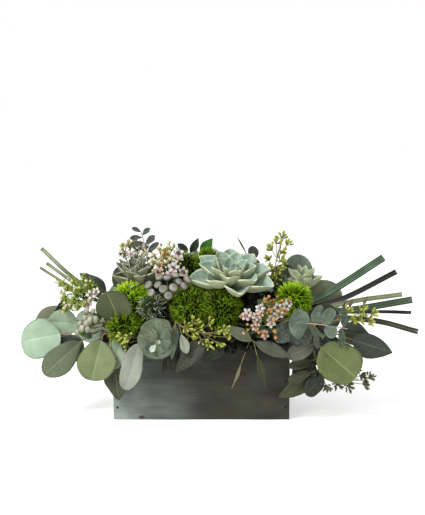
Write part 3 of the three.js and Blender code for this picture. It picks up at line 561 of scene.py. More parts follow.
# %% Stems, capsules and filaments
# Young eucalyptus wood is smooth, brownish red clouded with olive.
stem_skin = small_finish("eucalyptus_twig_smooth", ("#8d5a45", "#6f7a4c"), 9, 0.5)
# Seeded eucalyptus twigs are paler and thinner, and a young shoot is dusted pinkish white.
tan_twig = small_finish("seeded_twig_tan", ("#837545", "#6b6a3e"), 9, 0.55)
dusted_twig = small_finish("young_shoot_dusted", ("#a8927c", "#a89f80"), 9, 0.6)
# Florists' green stems of dianthus, waxflower and brunia.
green_stem = small_finish("cut_stem_green", ("#5c7434", "#86924f"), 6, 0.55)
# Unopened eucalyptus capsules: smooth, lime yellow, a little shiny.
capsule_skin = small_finish("eucalyptus_capsule_smooth", ("#8f9434", "#a9ab4e"), 3, 0.42,
                            [(0.0, "#5c6828"), (0.55, "#99a438"), (1.0, "#cbd070")], mix=0.3)
# Dianthus filaments: yellow-green and thin at the tips, and painted dark towards the foot as shade in the
# depth of the head.
filament_skin = small_finish("dianthus_filament_soft", ("#5f8a10", "#8fae12"), 7, 0.5,
                             [(0.0, "#0a1202"), (0.4, "#223f02"), (0.7, "#679508"), (1.0, "#c6de3c")],
                             mix=0.3)
# The heads that stand in the light get a brighter, more yellow copy of the filament finish: painted light.
lit_filament_skin = small_finish("dianthus_filament_painted_light", ("#5f8a10", "#8fae12"), 7, 0.5,
                                   [(0.0, "#1d2e04"), (0.4, "#6ea604"), (0.7, "#b6ea0c"), (1.0, "#eaff48")],
                                   mix=0.3)
# The dense green calyxes under the filaments, painted almost black as shade inside the head.
shaded_heart_skin = small_finish("dianthus_calyx_painted_shade", ("#101c06", "#1d3009"), 4, 0.9, relief_mm=1.0)
print("stems, capsules and filaments; materials so far:", len(bpy.data.materials))

# %% Fruits, petals, bracts, foam and liner
# Silver brunia fruits are covered in short felt and are very matt. Each is painted dark at its foot as shade
# and light towards its top as a painted highlight, a little darker again at the very tip.
shaded_felt_skin = small_finish("brunia_fruit_felted_painted_shade", ("#4d4d46", "#a4a397"), 1.3, 0.9,
                         [(0.0, "#171713"), (0.4, "#46463e"), (0.8, "#a5a497"), (1.0, "#75746a")],
                         1.0, mix=0.3, gloss=0.1)
# The oval fruits point upwards: painted shade below and a painted highlight on top.
shaded_pale_felt_skin = small_finish("brunia_fruit_young_painted_shade", ("#85856f", "#c9c8b6"), 1.6, 0.9,
                              [(0.0, "#4b4b3a"), (0.45, "#8d8d77"), (1.0, "#c3c2ae")],
                              0.9, mix=0.3, gloss=0.1)
# Waxflower petals: waxy, pale pink or nearly white, and a little clouded.
petal_skin = small_finish("waxflower_petal_waxy", ("#efe3e0", "#d3c9c4"), 4, 0.45, tinted=True, mix=0.4)
# Sea holly: bracts almost black at their foot, dark olive half-way and silver where they dry and curl.
bract_skin = small_finish("sea_holly_bract_dry", ("#55605c", "#8d9690"), 5, 0.55,
                          [(0.0, "#10140c"), (0.45, "#46523a"), (1.0, "#f0f2e4")], mix=0.2)
floret_skin = small_finish("sea_holly_floret_dark", ("#34501a", "#5f7d2e"), 3, 0.6)
# Needle leaves of waxflower.
needle_skin = small_finish("waxflower_needle_smooth", ("#6f8a2c", "#97ad3a"), 4, 0.45,
                           [(0.0, "#4c6a16"), (0.6, "#93b22e"), (1.0, "#cfe26c")], mix=0.3)
# Floral foam: fine open cells, dark when it is soaked.
foam_skin = small_finish("floral_foam_soaked", ("#1d3822", "#2b4a2c"), 1.2, 0.95, relief_mm=0.8)
# Birch picks: pale, split along the grain and stained by water.
pick_skin = small_finish("birch_pick_split", ("#a98b5e", "#8a7048"), 2.5, 0.8)
# The liner is vacuum-formed black polypropylene with a faint orange-peel surface.
liner_skin = small_finish("polypropylene_liner_formed", ("#161817", "#202322"), 1.5, 0.5, relief_mm=0.05)
print("fruits, petals, foam and liner; materials so far:", len(bpy.data.materials))

# %% [markdown]
# ## Succulent skin and striped grass
# An echeveria's wax, called farina, is thickest in the middle of each leaf and rubbed off at the rim,
# where the skin shows yellow-green or pink. Lily grass has parallel veins, so its stripes only depend on
# the place across.


# %% Succulent skin
def echeveria_skin(name, inner, rim, under, farina):
    """Fleshy echeveria skin with a rubbed rim, cloudy farina and painted shade towards each leaf's base."""
    made, tree, shader = new_finish(name, {
        "IOR": 1.42, "Roughness": 0.52, "Specular IOR Level": 0.3, "Subsurface Weight": 0.08,
        "Subsurface Radius": (0.004, 0.006, 0.002),
    })
    place = add_node(tree, "ShaderNodeTexCoord").outputs["Object"]
    spot = add_node(tree, "ShaderNodeSeparateXYZ", {0: add_node(tree, "ShaderNodeUVMap", uv_map="blade")})
    centred = add_node(tree, "ShaderNodeMath", {0: spot.outputs["X"], 1: 0.5}, operation="SUBTRACT")
    off = add_node(tree, "ShaderNodeMath", {0: centred}, operation="ABSOLUTE")
    # Clouds of farina are about 6 mm wide.
    cloud = add_node(tree, "ShaderNodeTexNoise", {"Vector": place, "Scale": 160.0, "Detail": 3.0})
    dust = add_node(tree, "ShaderNodeMapRange", {
        "Value": cloud, "From Min": 0.36, "From Max": 0.66, "To Min": 0.05, "To Max": 0.6,
    })
    # Painted shade: each leaf darkens towards its base, in the depth of the rosette.
    foot = add_node(tree, "ShaderNodeMapRange", {
        "Value": spot.outputs["Y"], "From Min": 0.1, "From Max": 0.6, "To Min": 0.5, "To Max": 1.0,
    })
    base = add_node(tree, "ShaderNodeVectorMath", {0: linear(inner)[:3], "Scale": foot}, operation="SCALE")
    dusted = add_node(tree, "ShaderNodeMix", {0: dust, 6: base, 7: linear(farina)}, data_type="RGBA")
    side = add_node(tree, "ShaderNodeMapRange", {
        "Value": off, "From Min": 0.445, "From Max": 0.485, "To Min": 0, "To Max": 0.85,
    }, interpolation_type="SMOOTHSTEP")
    end = add_node(tree, "ShaderNodeMapRange", {
        "Value": spot.outputs["Y"], "From Min": 0.94, "From Max": 0.99, "To Min": 0, "To Max": 0.85,
    }, interpolation_type="SMOOTHSTEP")
    rubbed = add_node(tree, "ShaderNodeMath", {0: side, 1: end}, operation="MAXIMUM")
    upper = add_node(tree, "ShaderNodeAttribute", attribute_name="tint").outputs["Alpha"]
    sided = add_node(tree, "ShaderNodeMix", {
        0: upper, 6: linear(under), 7: dusted.outputs[2],
    }, data_type="RGBA")
    colour = add_node(tree, "ShaderNodeMix", {
        0: rubbed, 6: sided.outputs[2], 7: linear(rim),
    }, data_type="RGBA")
    bump = add_node(tree, "ShaderNodeBump", {"Height": cloud, "Strength": 0.15, "Distance": 0.001})
    feed(tree, shader, {"Base Color": colour.outputs[2], "Normal": bump})
    return made


ECHEVERIA_SKINS = {
    "center": echeveria_skin("echeveria_blue_farina", "#96af9d", "#e2e6bf", "#a3a98a", "#c6d6c6"),
    "left": echeveria_skin("echeveria_grey_farina", "#676e60", "#d6d8b4", "#7b7e66", "#8f9482"),
    "right": echeveria_skin("echeveria_pale_farina", "#a8bb98", "#d9c8a8", "#a2af8c", "#c2cfb2"),
}
print("succulent skins:", *ECHEVERIA_SKINS)


# %% Striped grass
def grass_skin(name, dark, pale, stripes):
    """Striped lily grass. The stripes are coarser than real ones, two to four millimetres, so they show."""
    made, tree, shader = new_finish(name, {"IOR": 1.45, "Roughness": 0.42, "Specular IOR Level": 0.45})
    place = add_node(tree, "ShaderNodeTexCoord").outputs["Object"]
    spot = add_node(tree, "ShaderNodeSeparateXYZ", {0: add_node(tree, "ShaderNodeUVMap", uv_map="blade")})
    wave = add_node(tree, "ShaderNodeMath", {
        0: spot.outputs["X"], 1: stripes * 2 * math.pi,
    }, operation="MULTIPLY")
    ridge = add_node(tree, "ShaderNodeMath", {0: wave}, operation="COSINE")
    lighter = add_node(tree, "ShaderNodeMapRange", {
        "Value": ridge, "From Min": 0.2, "From Max": 1, "To Min": 0, "To Max": 0.7,
    })
    # The green drifts lighter and darker every 25 mm.
    cloud = add_node(tree, "ShaderNodeTexNoise", {"Vector": place, "Scale": 40.0, "Detail": 3.0})
    shift = add_node(tree, "ShaderNodeMapRange", {
        "Value": cloud, "From Min": 0.35, "From Max": 0.65, "To Min": 0.75, "To Max": 1.2,
    })
    tint = add_node(tree, "ShaderNodeMix", {0: lighter, 6: linear(dark), 7: linear(pale)}, data_type="RGBA")
    colour = add_node(tree, "ShaderNodeVectorMath", {0: tint.outputs[2], "Scale": shift}, operation="SCALE")
    bump = add_node(tree, "ShaderNodeBump", {"Height": ridge, "Strength": 0.4, "Distance": 0.0003})
    feed(tree, shader, {"Base Color": colour, "Normal": bump})
    return made


green_grass = grass_skin("lily_grass_green_striped", "#2b3b2a", "#5b7352", 3)
white_striped_grass = grass_skin("lily_grass_white_striped", "#28492e", "#869f7c", 4)
dark_grass = grass_skin("lily_grass_shaded_black", "#171814", "#35372e", 2)
olive_grass = grass_skin("lily_grass_olive_striped", "#2a2d1d", "#6f7154", 2)
pale_grass = grass_skin("lily_grass_dried_pale", "#6c7655", "#a3aa86", 2)
print("grass; materials so far:", len(bpy.data.materials))

# %% [markdown]
# ## Geometry Nodes: tubes, clusters, brushes and rosettes
# Four small trees do all the repeating work. Tubes give every row of edge points a round skin. A cluster
# puts one head on each point and turns it the way its stalk grows. A brush covers a surface with
# thousands of leaning copies. A rosette places leaves at the golden angle, 137.5 degrees apart, from
# upright to flat. Each tree ends by realising its instances, because only real faces can be exported.


# %% Start and end of a tree
def new_tree(name, inputs):
    """A tree with geometry in and out, and named inputs: {name: (socket kind, start value)}."""
    tree = bpy.data.node_groups.new(name, "GeometryNodeTree")
    tree.interface.new_socket("Geometry", in_out="INPUT", socket_type="NodeSocketGeometry")
    tree.interface.new_socket("Geometry", in_out="OUTPUT", socket_type="NodeSocketGeometry")
    for label, (kind, value) in inputs.items():
        socket = tree.interface.new_socket(label, in_out="INPUT", socket_type="NodeSocket" + kind)
        if value is not None:
            socket.default_value = value
    return tree, add_node(tree, "NodeGroupInput").outputs


def random_turn(tree, axis, least, most, seed):
    """A rotation about one axis by a random angle between two limits, in radians."""
    angle = add_node(tree, "FunctionNodeRandomValue", {2: least, 3: most, "Seed": seed}, data_type="FLOAT")
    return add_node(tree, "FunctionNodeAxisAngleToRotation", {"Axis": axis, "Angle": angle.outputs[1]})


def end_tree(tree, grown, finish):
    """Realises the instances, sets the material and leaves the tree."""
    real = add_node(tree, "GeometryNodeRealizeInstances", {"Geometry": grown})
    painted = add_node(tree, "GeometryNodeSetMaterial", {"Geometry": real, "Material": finish})
    add_node(tree, "NodeGroupOutput", {"Geometry": painted})


def grow(name, tree, start_mesh, settings):
    """Runs a tree on a mesh and returns the plain mesh that grows."""
    host = bpy.data.objects.new(name, start_mesh)
    scene.collection.objects.link(host)
    modifier = host.modifiers.new(tree.name, "NODES")
    modifier.node_group = tree
    for item in tree.interface.items_tree:
        if item.item_type == "SOCKET" and item.in_out == "INPUT" and item.name in settings:
            modifier[item.identifier] = settings[item.name]
    made = bpy.data.meshes.new_from_object(host.evaluated_get(bpy.context.evaluated_depsgraph_get()))
    bpy.data.objects.remove(host)
    return made


# %% Tubes
tube_tree, given = new_tree("stem_tubes", {"Sides": ("Int", 8), "Finish": ("Material", None)})
lines = add_node(tube_tree, "GeometryNodeMeshToCurve", {"Mesh": given["Geometry"]})
girth = add_node(tube_tree, "GeometryNodeInputNamedAttribute", {"Name": "radius"}, data_type="FLOAT")
section = add_node(tube_tree, "GeometryNodeCurvePrimitiveCircle", {
    "Resolution": given["Sides"], "Radius": 1.0,
})
skin = add_node(tube_tree, "GeometryNodeCurveToMesh", {
    "Curve": lines, "Profile Curve": section, "Scale": girth, "Fill Caps": True,
})
end_tree(tube_tree, add_node(tube_tree, "GeometryNodeSetShadeSmooth", {"Geometry": skin}), given["Finish"])


def line_mesh(lines):
    """Rows of (point, radius) in millimetres as a mesh of edges that remembers each point's radius."""
    made = bpy.data.meshes.new("lines")
    points = [p for row in lines for p, _ in row]
    edges = []
    first = 0
    for row in lines:
        edges += [(first + i, first + i + 1) for i in range(len(row) - 1)]
        first += len(row)
    made.from_pydata([tuple(MM * c for c in p) for p in points], edges, [])
    radius = made.attributes.new("radius", "FLOAT", "POINT")
    radius.data.foreach_set("value", [MM * r for row in lines for _, r in row])
    return made


def stem_line(path, thick, thin):
    """A path as a row of points that gets thinner towards the tip."""
    count = 24
    return [(path.at(k / count), thick + (thin - thick) * k / count) for k in range(count + 1)]


def stalk_line(start, end, thick, thin, sag=0.12):
    """A short stalk that leaves its stem a little bent."""
    start, end = Vector(start), Vector(end)
    bend = (start + end) / 2 - Vector((0, 0, sag * (end - start).length))
    row = []
    for t in (0, 0.25, 0.5, 0.75, 1):
        row.append((start * (1 - t) ** 2 + bend * 2 * t * (1 - t) + end * t * t, thick + (thin - thick) * t))
    return row


print("tube tree:", len(tube_tree.nodes), "nodes")

# %% Clusters
cluster_tree, given = new_tree("clusters_on_points", {
    "Piece": ("Object", None), "Seed": ("Int", 1), "Finish": ("Material", None),
})
piece = add_node(cluster_tree, "GeometryNodeObjectInfo", {"Object": given["Piece"]})
pointing = add_node(cluster_tree, "GeometryNodeInputNamedAttribute", {
    "Name": "pointing",
}, data_type="FLOAT_VECTOR")
size = add_node(cluster_tree, "GeometryNodeInputNamedAttribute", {"Name": "size"}, data_type="FLOAT")
turned = add_node(cluster_tree, "FunctionNodeAlignRotationToVector", {"Vector": pointing}, axis="Z")
spin = random_turn(cluster_tree, (0, 0, 1), 0.0, FULL_TURN, given["Seed"])
rolled = add_node(cluster_tree, "FunctionNodeRotateRotation", {0: turned, 1: spin}, rotation_space="LOCAL")
copies = add_node(cluster_tree, "GeometryNodeInstanceOnPoints", {
    "Points": given["Geometry"], "Instance": piece.outputs["Geometry"], "Rotation": rolled, "Scale": size,
})
shade = add_node(cluster_tree, "FunctionNodeRandomValue", {
    2: 0.0, 3: 0.6, "Seed": given["Seed"],
}, data_type="FLOAT")
shaded = add_node(cluster_tree, "GeometryNodeStoreNamedAttribute", {
    "Geometry": copies, "Name": "shade", "Value": shade.outputs[1],
}, data_type="FLOAT", domain="INSTANCE")
end_tree(cluster_tree, shaded, given["Finish"])


def point_mesh(heads):
    """(place, direction, size) rows in millimetres as the points of a cluster."""
    made = bpy.data.meshes.new("heads")
    made.from_pydata([tuple(MM * c for c in place) for place, _, _ in heads], [], [])
    pointing = made.attributes.new("pointing", "FLOAT_VECTOR", "POINT")
    pointing.data.foreach_set("vector", [c for _, way, _ in heads for c in Vector(way).normalized()])
    size = made.attributes.new("size", "FLOAT", "POINT")
    size.data.foreach_set("value", [size for _, _, size in heads])
    return made


print("cluster tree:", len(cluster_tree.nodes), "nodes")

# %% Brushes
brush_tree, given = new_tree("brush_on_surface", {
    "Piece": ("Object", None), "Density": ("Float", 1e5), "Least Tilt": ("Float", 0.0),
    "Most Tilt": ("Float", 0.5), "Least Size": ("Float", 0.8), "Most Size": ("Float", 1.2),
    "Tuft": ("Float", 0.01), "Seed": ("Int", 1), "Finish": ("Material", None),
})
piece = add_node(brush_tree, "GeometryNodeObjectInfo", {"Object": given["Piece"]})
spread = add_node(brush_tree, "GeometryNodeDistributePointsOnFaces", {
    "Mesh": given["Geometry"], "Density": given["Density"], "Seed": given["Seed"],
})
spin = random_turn(brush_tree, (0, 0, 1), 0.0, FULL_TURN, given["Seed"])
lean = random_turn(brush_tree, (1, 0, 0), given["Least Tilt"], given["Most Tilt"], 11)
spun = add_node(brush_tree, "FunctionNodeRotateRotation", {
    0: spread.outputs["Rotation"], 1: spin,
}, rotation_space="LOCAL")
leant = add_node(brush_tree, "FunctionNodeRotateRotation", {0: spun, 1: lean}, rotation_space="LOCAL")
here = add_node(brush_tree, "GeometryNodeInputPosition")
per_metre = add_node(brush_tree, "ShaderNodeMath", {0: 1.0, 1: given["Tuft"]}, operation="DIVIDE")
tufts = add_node(brush_tree, "ShaderNodeTexNoise", {"Vector": here, "Scale": per_metre, "Detail": 1.0})
tall = add_node(brush_tree, "ShaderNodeMapRange", {
    "Value": tufts, "From Min": 0.3, "From Max": 0.7,
    "To Min": given["Least Size"], "To Max": given["Most Size"],
})
copies = add_node(brush_tree, "GeometryNodeInstanceOnPoints", {
    "Points": spread.outputs["Points"], "Instance": piece.outputs["Geometry"],
    "Rotation": leant, "Scale": tall,
})
# Painted shade: copies in the low places between tufts are darkened.
painted_cleft_shade = add_node(brush_tree, "ShaderNodeMapRange", {
    "Value": tufts, "From Min": 0.35, "From Max": 0.6, "To Min": 0.9, "To Max": 0.0,
})
shaded = add_node(brush_tree, "GeometryNodeStoreNamedAttribute", {
    "Geometry": copies, "Name": "shade", "Value": painted_cleft_shade,
}, data_type="FLOAT", domain="INSTANCE")
end_tree(brush_tree, shaded, given["Finish"])
print("brush tree:", len(brush_tree.nodes), "nodes")

# %% Rosettes
GOLDEN_ANGLE = math.radians(137.508)
rosette_tree, given = new_tree("golden_angle_rosette", {
    "Leaf": ("Object", None), "Count": ("Int", 24), "Radius": ("Float", 0.05), "Turn": ("Float", 0.0),
    "First Lean": ("Float", 0.2), "Last Lean": ("Float", 1.4), "Share": ("Float", 0.6),
    "Inner Length": ("Float", 0.3), "Finish": ("Material", None),
})
line = add_node(rosette_tree, "GeometryNodeMeshLine", {"Count": given["Count"]})
index = add_node(rosette_tree, "GeometryNodeInputIndex")
half_on = add_node(rosette_tree, "ShaderNodeMath", {0: index, 1: 0.5}, operation="ADD")
order = add_node(rosette_tree, "ShaderNodeMath", {0: half_on, 1: given["Count"]}, operation="DIVIDE")
angle = add_node(rosette_tree, "ShaderNodeMath", {
    0: index, 1: GOLDEN_ANGLE, 2: given["Turn"],
}, operation="MULTIPLY_ADD")
opened = add_node(rosette_tree, "ShaderNodeMath", {0: order, 1: 0.8}, operation="POWER")
lean = add_node(rosette_tree, "ShaderNodeMapRange", {
    "Value": opened, "To Min": given["First Lean"], "To Max": given["Last Lean"],
})
wobble = add_node(rosette_tree, "FunctionNodeRandomValue", {
    2: -0.07, 3: 0.07, "Seed": 5,
}, data_type="FLOAT")
leant = add_node(rosette_tree, "ShaderNodeMath", {0: lean, 1: wobble.outputs[1]}, operation="ADD")
grown = add_node(rosette_tree, "ShaderNodeMath", {0: order, 1: 0.75}, operation="POWER")
share = add_node(rosette_tree, "ShaderNodeMapRange", {
    "Value": grown, "To Min": given["Inner Length"], "To Max": 1.0,
})
length = add_node(rosette_tree, "ShaderNodeMath", {0: share, 1: given["Radius"]}, operation="MULTIPLY")
wide = add_node(rosette_tree, "ShaderNodeMath", {0: length, 1: given["Share"]}, operation="MULTIPLY")
ring = add_node(rosette_tree, "ShaderNodeMath", {0: given["Radius"], 1: 0.06}, operation="MULTIPLY")
across = add_node(rosette_tree, "ShaderNodeMath", {0: angle}, operation="COSINE")
back = add_node(rosette_tree, "ShaderNodeMath", {0: angle}, operation="SINE")
drop = add_node(rosette_tree, "ShaderNodeMapRange", {"Value": order, "To Min": 0.08, "To Max": -0.08})
height = add_node(rosette_tree, "ShaderNodeMath", {0: drop, 1: given["Radius"]}, operation="MULTIPLY")
sideways = add_node(rosette_tree, "ShaderNodeCombineXYZ", {"X": across, "Y": back})
foot = add_node(rosette_tree, "ShaderNodeVectorMath", {0: sideways, "Scale": ring}, operation="SCALE")
lifted = add_node(rosette_tree, "ShaderNodeVectorMath", {
    0: foot, 1: add_node(rosette_tree, "ShaderNodeCombineXYZ", {"Z": height}),
}, operation="ADD")
placed = add_node(rosette_tree, "GeometryNodeSetPosition", {"Geometry": line, "Position": lifted})
turned = add_node(rosette_tree, "ShaderNodeCombineXYZ", {"Y": leant, "Z": angle})
leaf = add_node(rosette_tree, "GeometryNodeObjectInfo", {"Object": given["Leaf"]})
copies = add_node(rosette_tree, "GeometryNodeInstanceOnPoints", {
    "Points": placed,
    "Instance": leaf.outputs["Geometry"],
    "Rotation": add_node(rosette_tree, "FunctionNodeEulerToRotation", {0: turned}),
    "Scale": add_node(rosette_tree, "ShaderNodeCombineXYZ", {"X": length, "Y": wide, "Z": length}),
})
end_tree(rosette_tree, copies, given["Finish"])
print("rosette tree:", len(rosette_tree.nodes), "nodes")

# %% [markdown]
# ## Seed pieces
# The trees copy a few small pieces: a filament, a petalled flower, a bud, a capsule, a fruit, a bract, a
# needle and a leaf. Those that are copied thousands of times have only a dozen faces. They never go into
# the scene; the trees only borrow them.


# %% Shapes of the seed pieces
SEED_PIECES = []


def seed_object(name, shells):
    """A small mesh for the trees to copy, kept out of the scene."""
    made = bpy.data.objects.new(name, shells.mesh(name, []))
    SEED_PIECES.append(made)
    return made


def spike(length, radius, bend, spans=3):
    """A thin tapering three-sided spike that grows along Z and bends towards X."""
    shells = Shells()
    sides = 3
    rings = []
    for i in range(spans):
        t = i / spans
        middle = Vector((bend * t * t, 0, length * t))
        girth = radius * (1 - 0.55 * t)
        turn = [2 * math.pi * k / sides for k in range(sides)]
        rings.append([(middle + girth * Vector((math.cos(a), math.sin(a), 0)), (k / sides, t), 1)
                      for k, a in enumerate(turn)])
    shells.loft(rings, ((0, 0, 0), (bend, 0, length)), linear("#ffffff"), [0] * (spans - 1))
    return shells


def lathe(profile, sides, tint="#ffffff"):
    """A round piece along Z from (height, radius) points."""
    shells = Shells()
    low, high = profile[0][0], profile[-1][0]
    rings = []
    for z, radius in profile:
        turn = [2 * math.pi * k / sides for k in range(sides)]
        rings.append([(Vector((radius * math.cos(a), radius * math.sin(a), z)),
                       (k / sides, (z - low) / (high - low)), 1) for k, a in enumerate(turn)])
    shells.loft(rings, ((0, 0, low), (0, 0, high)), linear(tint), [0] * (len(profile) - 1))
    return shells


def flower(petal_tint, heart_tint):
    """A waxflower: five round petals round a small dark cup."""
    shells = Shells()
    for k in range(5):
        angle = 2 * math.pi * k / 5
        out = Vector((math.cos(angle), math.sin(angle), 0))
        up = Vector((0, 0, 1))
        add_blade(shells, out * 1.8 + up * 0.4, out * 7.6 + up * 1.6, 5.0, up - out * 0.2, "round",
                  petal_tint, seed=k, bow=-0.4, thickness=0.5, neck=0.7, fold=0.05, cup=0.1,
                  across=COARSE, spans=5)
    cup = lathe([(-2.4, 0.7), (-1.2, 1.9), (0.9, 3.1), (1.6, 2.7), (0.9, 1.3)], 8, heart_tint)
    first = len(shells.points)
    shells.points += cup.points
    shells.places += cup.places
    shells.tints += cup.tints
    shells.kinds += cup.kinds
    shells.faces += [tuple(first + i for i in face) for face in cup.faces]
    return shells


# %% Filaments, capsules, flowers and fruits
filament_piece = seed_object("filament", spike(15, 0.75, 4.5))
fine_filament_piece = seed_object("fine_filament", spike(11, 0.6, 3))
bract_piece = seed_object("bract", spike(14, 0.75, 8, 5))
needle_piece = seed_object("needle", spike(12, 1.15, 2.5))
capsule_profile = [(-5, 0.5), (-2.5, 1.1), (0, 1.75), (1.6, 1.8), (2.8, 1.2), (4.2, 0.25)]
capsule_piece = seed_object("capsule", lathe(capsule_profile, 7))
bud_piece = seed_object("bud", lathe([(-4, 0.7), (-2.6, 1.3), (-0.4, 2.3), (1.4, 2.4), (2.6, 1.2)], 8))
pink_flower = seed_object("pink_flower", flower("#cfb3a9", "#471a0e"))
white_flower = seed_object("white_flower", flower("#e4ded7", "#4f2211"))
fruit_profile = [(math.cos(math.pi * (1 - i / 9)), 0.02 + math.sin(math.pi * i / 9)) for i in range(10)]
fruit_piece = seed_object("fruit", lathe([(0.84 * z, r) for z, r in fruit_profile], 14))
oval_fruit_piece = seed_object("oval_fruit", lathe([(1.4 * z, r) for z, r in fruit_profile], 12))
print("small pieces:", len(SEED_PIECES))


# %% Leaves to copy
def unit_leaf(outline, bow, cup):
    """A fleshy rosette leaf one metre long and wide, for the tree to scale."""
    shells = Shells()
    add_blade(shells, (0, 0, 0), (0, 0, 1), 1, (-1, 0, 0), outline, "#ffffff", 3, bow=bow, thickness=0.06,
              neck=0.16, fold=0.02, cup=cup, wave=0.02, ragged=0.015, blunt=0.14)
    shells.points = [p / MM for p in shells.points]
    return shells


broad_leaf = seed_object("broad_rosette_leaf", unit_leaf("spoon", -0.13, 0.24))
narrow_leaf = seed_object("narrow_rosette_leaf", unit_leaf("pointed", -0.07, 0.3))
small_leaf = Shells()
# The tucked leaf's near-black tint is painted shade.
add_blade(small_leaf, (0, 0, 4), (0, 0, 32), 18, (0, -1, 0), "oval", "#151b0f", 5, start=(0, 0, 0), bow=3,
          across=COARSE, spans=6)
tucked_leaf = seed_object("tucked_leaf", small_leaf)
print("faces to copy:", {piece.name: len(piece.data.polygons) for piece in SEED_PIECES})

# %% [markdown]
# ## The planting plan
# Every row below repeats a place from the CAD model, in millimetres: a stem runs from its cut end in the
# foam to its tip, and each leaf is (share of the stem, tip of the leaf, (length, width), the way its face
# looks, colour, outline, bow). The colours run from the pale mint of a young leaf to the dark olive of an
# old one; the darkest, almost black, are painted shade for leaves that sit in shade inside the arrangement.
# A comment above each other table says what its rows hold.

# %% Silver dollar eucalyptus
# Painted shade: the near-black tints belong to leaves that sit in shade inside the arrangement.
SILVER_DOLLAR = {
    "silver_dollar_left": ([(-86, -6, 98), (-104, -14, 130), (-140, -36, 138), (-174, -52, 129)], [
        (1, (-260, -50, 112), (58, 58), (0, -1, 0.15), "#94aa93"),
        (0.86, (-223, -34, 139), (44, 41), (0, -1, 0.2), "#80937a"),
        (0.7, (-243, -6, 138), (54, 40), (0, -1, 0.4), "#666a53"),
        (0.5, (-148, 0, 84), (44, 40), (-1, 0.1, 0.3), "#5a6650"),
    ]),
    "silver_dollar_low_left": ([(-92, -24, 98), (-110, -34, 128), (-140, -50, 130), (-166, -56, 120)], [
        (1, (-227, -56, 65), (72, 40), (0.3, -1, 0.3), "#566048", "oval", 5),
        (0.9, (-212, -38, 88), (50, 42), (0, -1, 0.1), "#3f463c"),
        (0.85, (-173, -74, 131), (13, 12), (0, -1, 0.2), "#5f8a2c"),
        (0.8, (-166, -78, 126), (15, 12), (0.2, -1, 0.2), "#49564a"),
    ]),
    "silver_dollar_front_left": ([(-78, -30, 98), (-94, -44, 129), (-116, -62, 129), (-140, -70, 128)], [
        (1, (-156, -84, 63), (58, 55), (0, -1, 0.12), "#6b764f", "shield"),
        (0.8, (-150, -66, 86), (32, 30), (0, -1, 0.1), "#4f6355"),
        (0.66, (-134, -74, 190), (50, 50), (0, -1, 0.1), "#434c2c"),
        (0.72, (-162, -66, 134), (34, 16), (0, 0.2, 1), "#6d7665", "oval"),
        (0.62, (-129, -74, 78), (48, 30), (0, -1, 0.1), "#94a38d", "shield"),
        (0.9, (-118, -74, 32), (50, 34), (-0.1, -1, 0.1), "#353a26", "pointed"),
    ]),
    "silver_dollar_upper_left": (
        [(-88, 30, 98), (-98, 28, 130), (-130, 6, 168), (-150, -10, 180), (-194, -20, 176)], [
            (0.62, (-178, -14, 206), (50, 21), (0.1, -1, 0.5), "#414b46", "pointed"),
            (1, (-220, -24, 139), (46, 10), (0.5, -1, 0.3), "#262c28", "lance"),
            (0.5, (-118, 8, 212), (34, 24), (0, -1, 0.3), "#4a5244", "oval"),
            (0.4, (-150, 36, 102), (46, 42), (-1, 0.3, 0.3), "#5a6650"),
        ]),
    "silver_dollar_front_right": (
        [(92, -30, 98), (104, -42, 128), (128, -62, 126), (152, -76, 119), (168, -84, 113)], [
            (1, (219, -90, 69), (65, 62), (0, -1, 0.1), "#5d683a", "shield"),
            (0.93, (122, -88, 98), (50, 25), (0, -1, 0.2), "#4d4f42", "oval"),
            (0.8, (124, -74, 116), (40, 30), (0, -1, 0.1), "#272d26"),
        ]),
    "silver_dollar_right": ([(98, -6, 98), (114, -10, 128), (160, -30, 134), (204, -42, 118)], [
        (1, (276, -46, 95), (62, 36), (0, -1, 0.2), "#373e35", "pointed"),
        (0.85, (247, -30, 116), (50, 34), (0.1, -1, 0.3), "#3d4839", "pointed"),
        (0.75, (198, -48, 84), (40, 34), (0, -1, 0.1), "#2b322b"),
        (0.6, (164, -52, 78), (44, 40), (0, -1, 0.1), "#252b24"),
        (0.55, (198, -54, 152), (46, 44), (0, -1, 0.1), "#252b24"),
        (0.45, (150, 2, 82), (46, 42), (1, 0.1, 0.3), "#5a6650"),
    ]),
    "silver_dollar_right_back": ([(84, 18, 98), (98, 22, 130), (130, 28, 139), (160, 26, 140)], [
        (1, (198, 12, 186), (56, 54), (-0.1, -1, 0.1), "#8f9675"),
        (0.82, (143, 38, 226), (54, 44), (0, -1, 0.2), "#6f8170"),
        (0.7, (119, 34, 212), (50, 40), (0, -1, 0.2), "#39433a"),
        (0.6, (148, 46, 88), (46, 42), (1, 0.4, 0.3), "#5a6650"),
    ]),
    "silver_dollar_back_left": ([(-70, 30, 98), (-84, 42, 129), (-112, 62, 130), (-140, 74, 122)], [
        (1, (-194, 86, 92), (54, 52), (0, 1, 0.15), "#859a82"),
        (0.9, (-146, 92, 62), (52, 48), (0, 1, 0.12), "#666a5b"),
        (0.7, (-126, 80, 178), (48, 44), (0, 1, 0.15), "#4f6355"),
        (0.5, (-92, 86, 86), (46, 42), (0, 1, 0.2), "#6b7656"),
    ]),
    "silver_dollar_back_right": ([(64, 30, 98), (80, 42, 129), (110, 62, 130), (142, 74, 124)], [
        (1, (198, 84, 98), (56, 54), (0, 1, 0.15), "#5d6843"),
        (0.9, (150, 92, 62), (54, 50), (0, 1, 0.12), "#7f8d7b"),
        (0.7, (122, 80, 176), (46, 42), (0, 1, 0.2), "#434c33"),
        (0.5, (96, 88, 84), (46, 42), (0, 1, 0.2), "#545648"),
    ]),
}
print("silver dollar leaves:", sum(len(leaves) for _, leaves in SILVER_DOLLAR.values()))

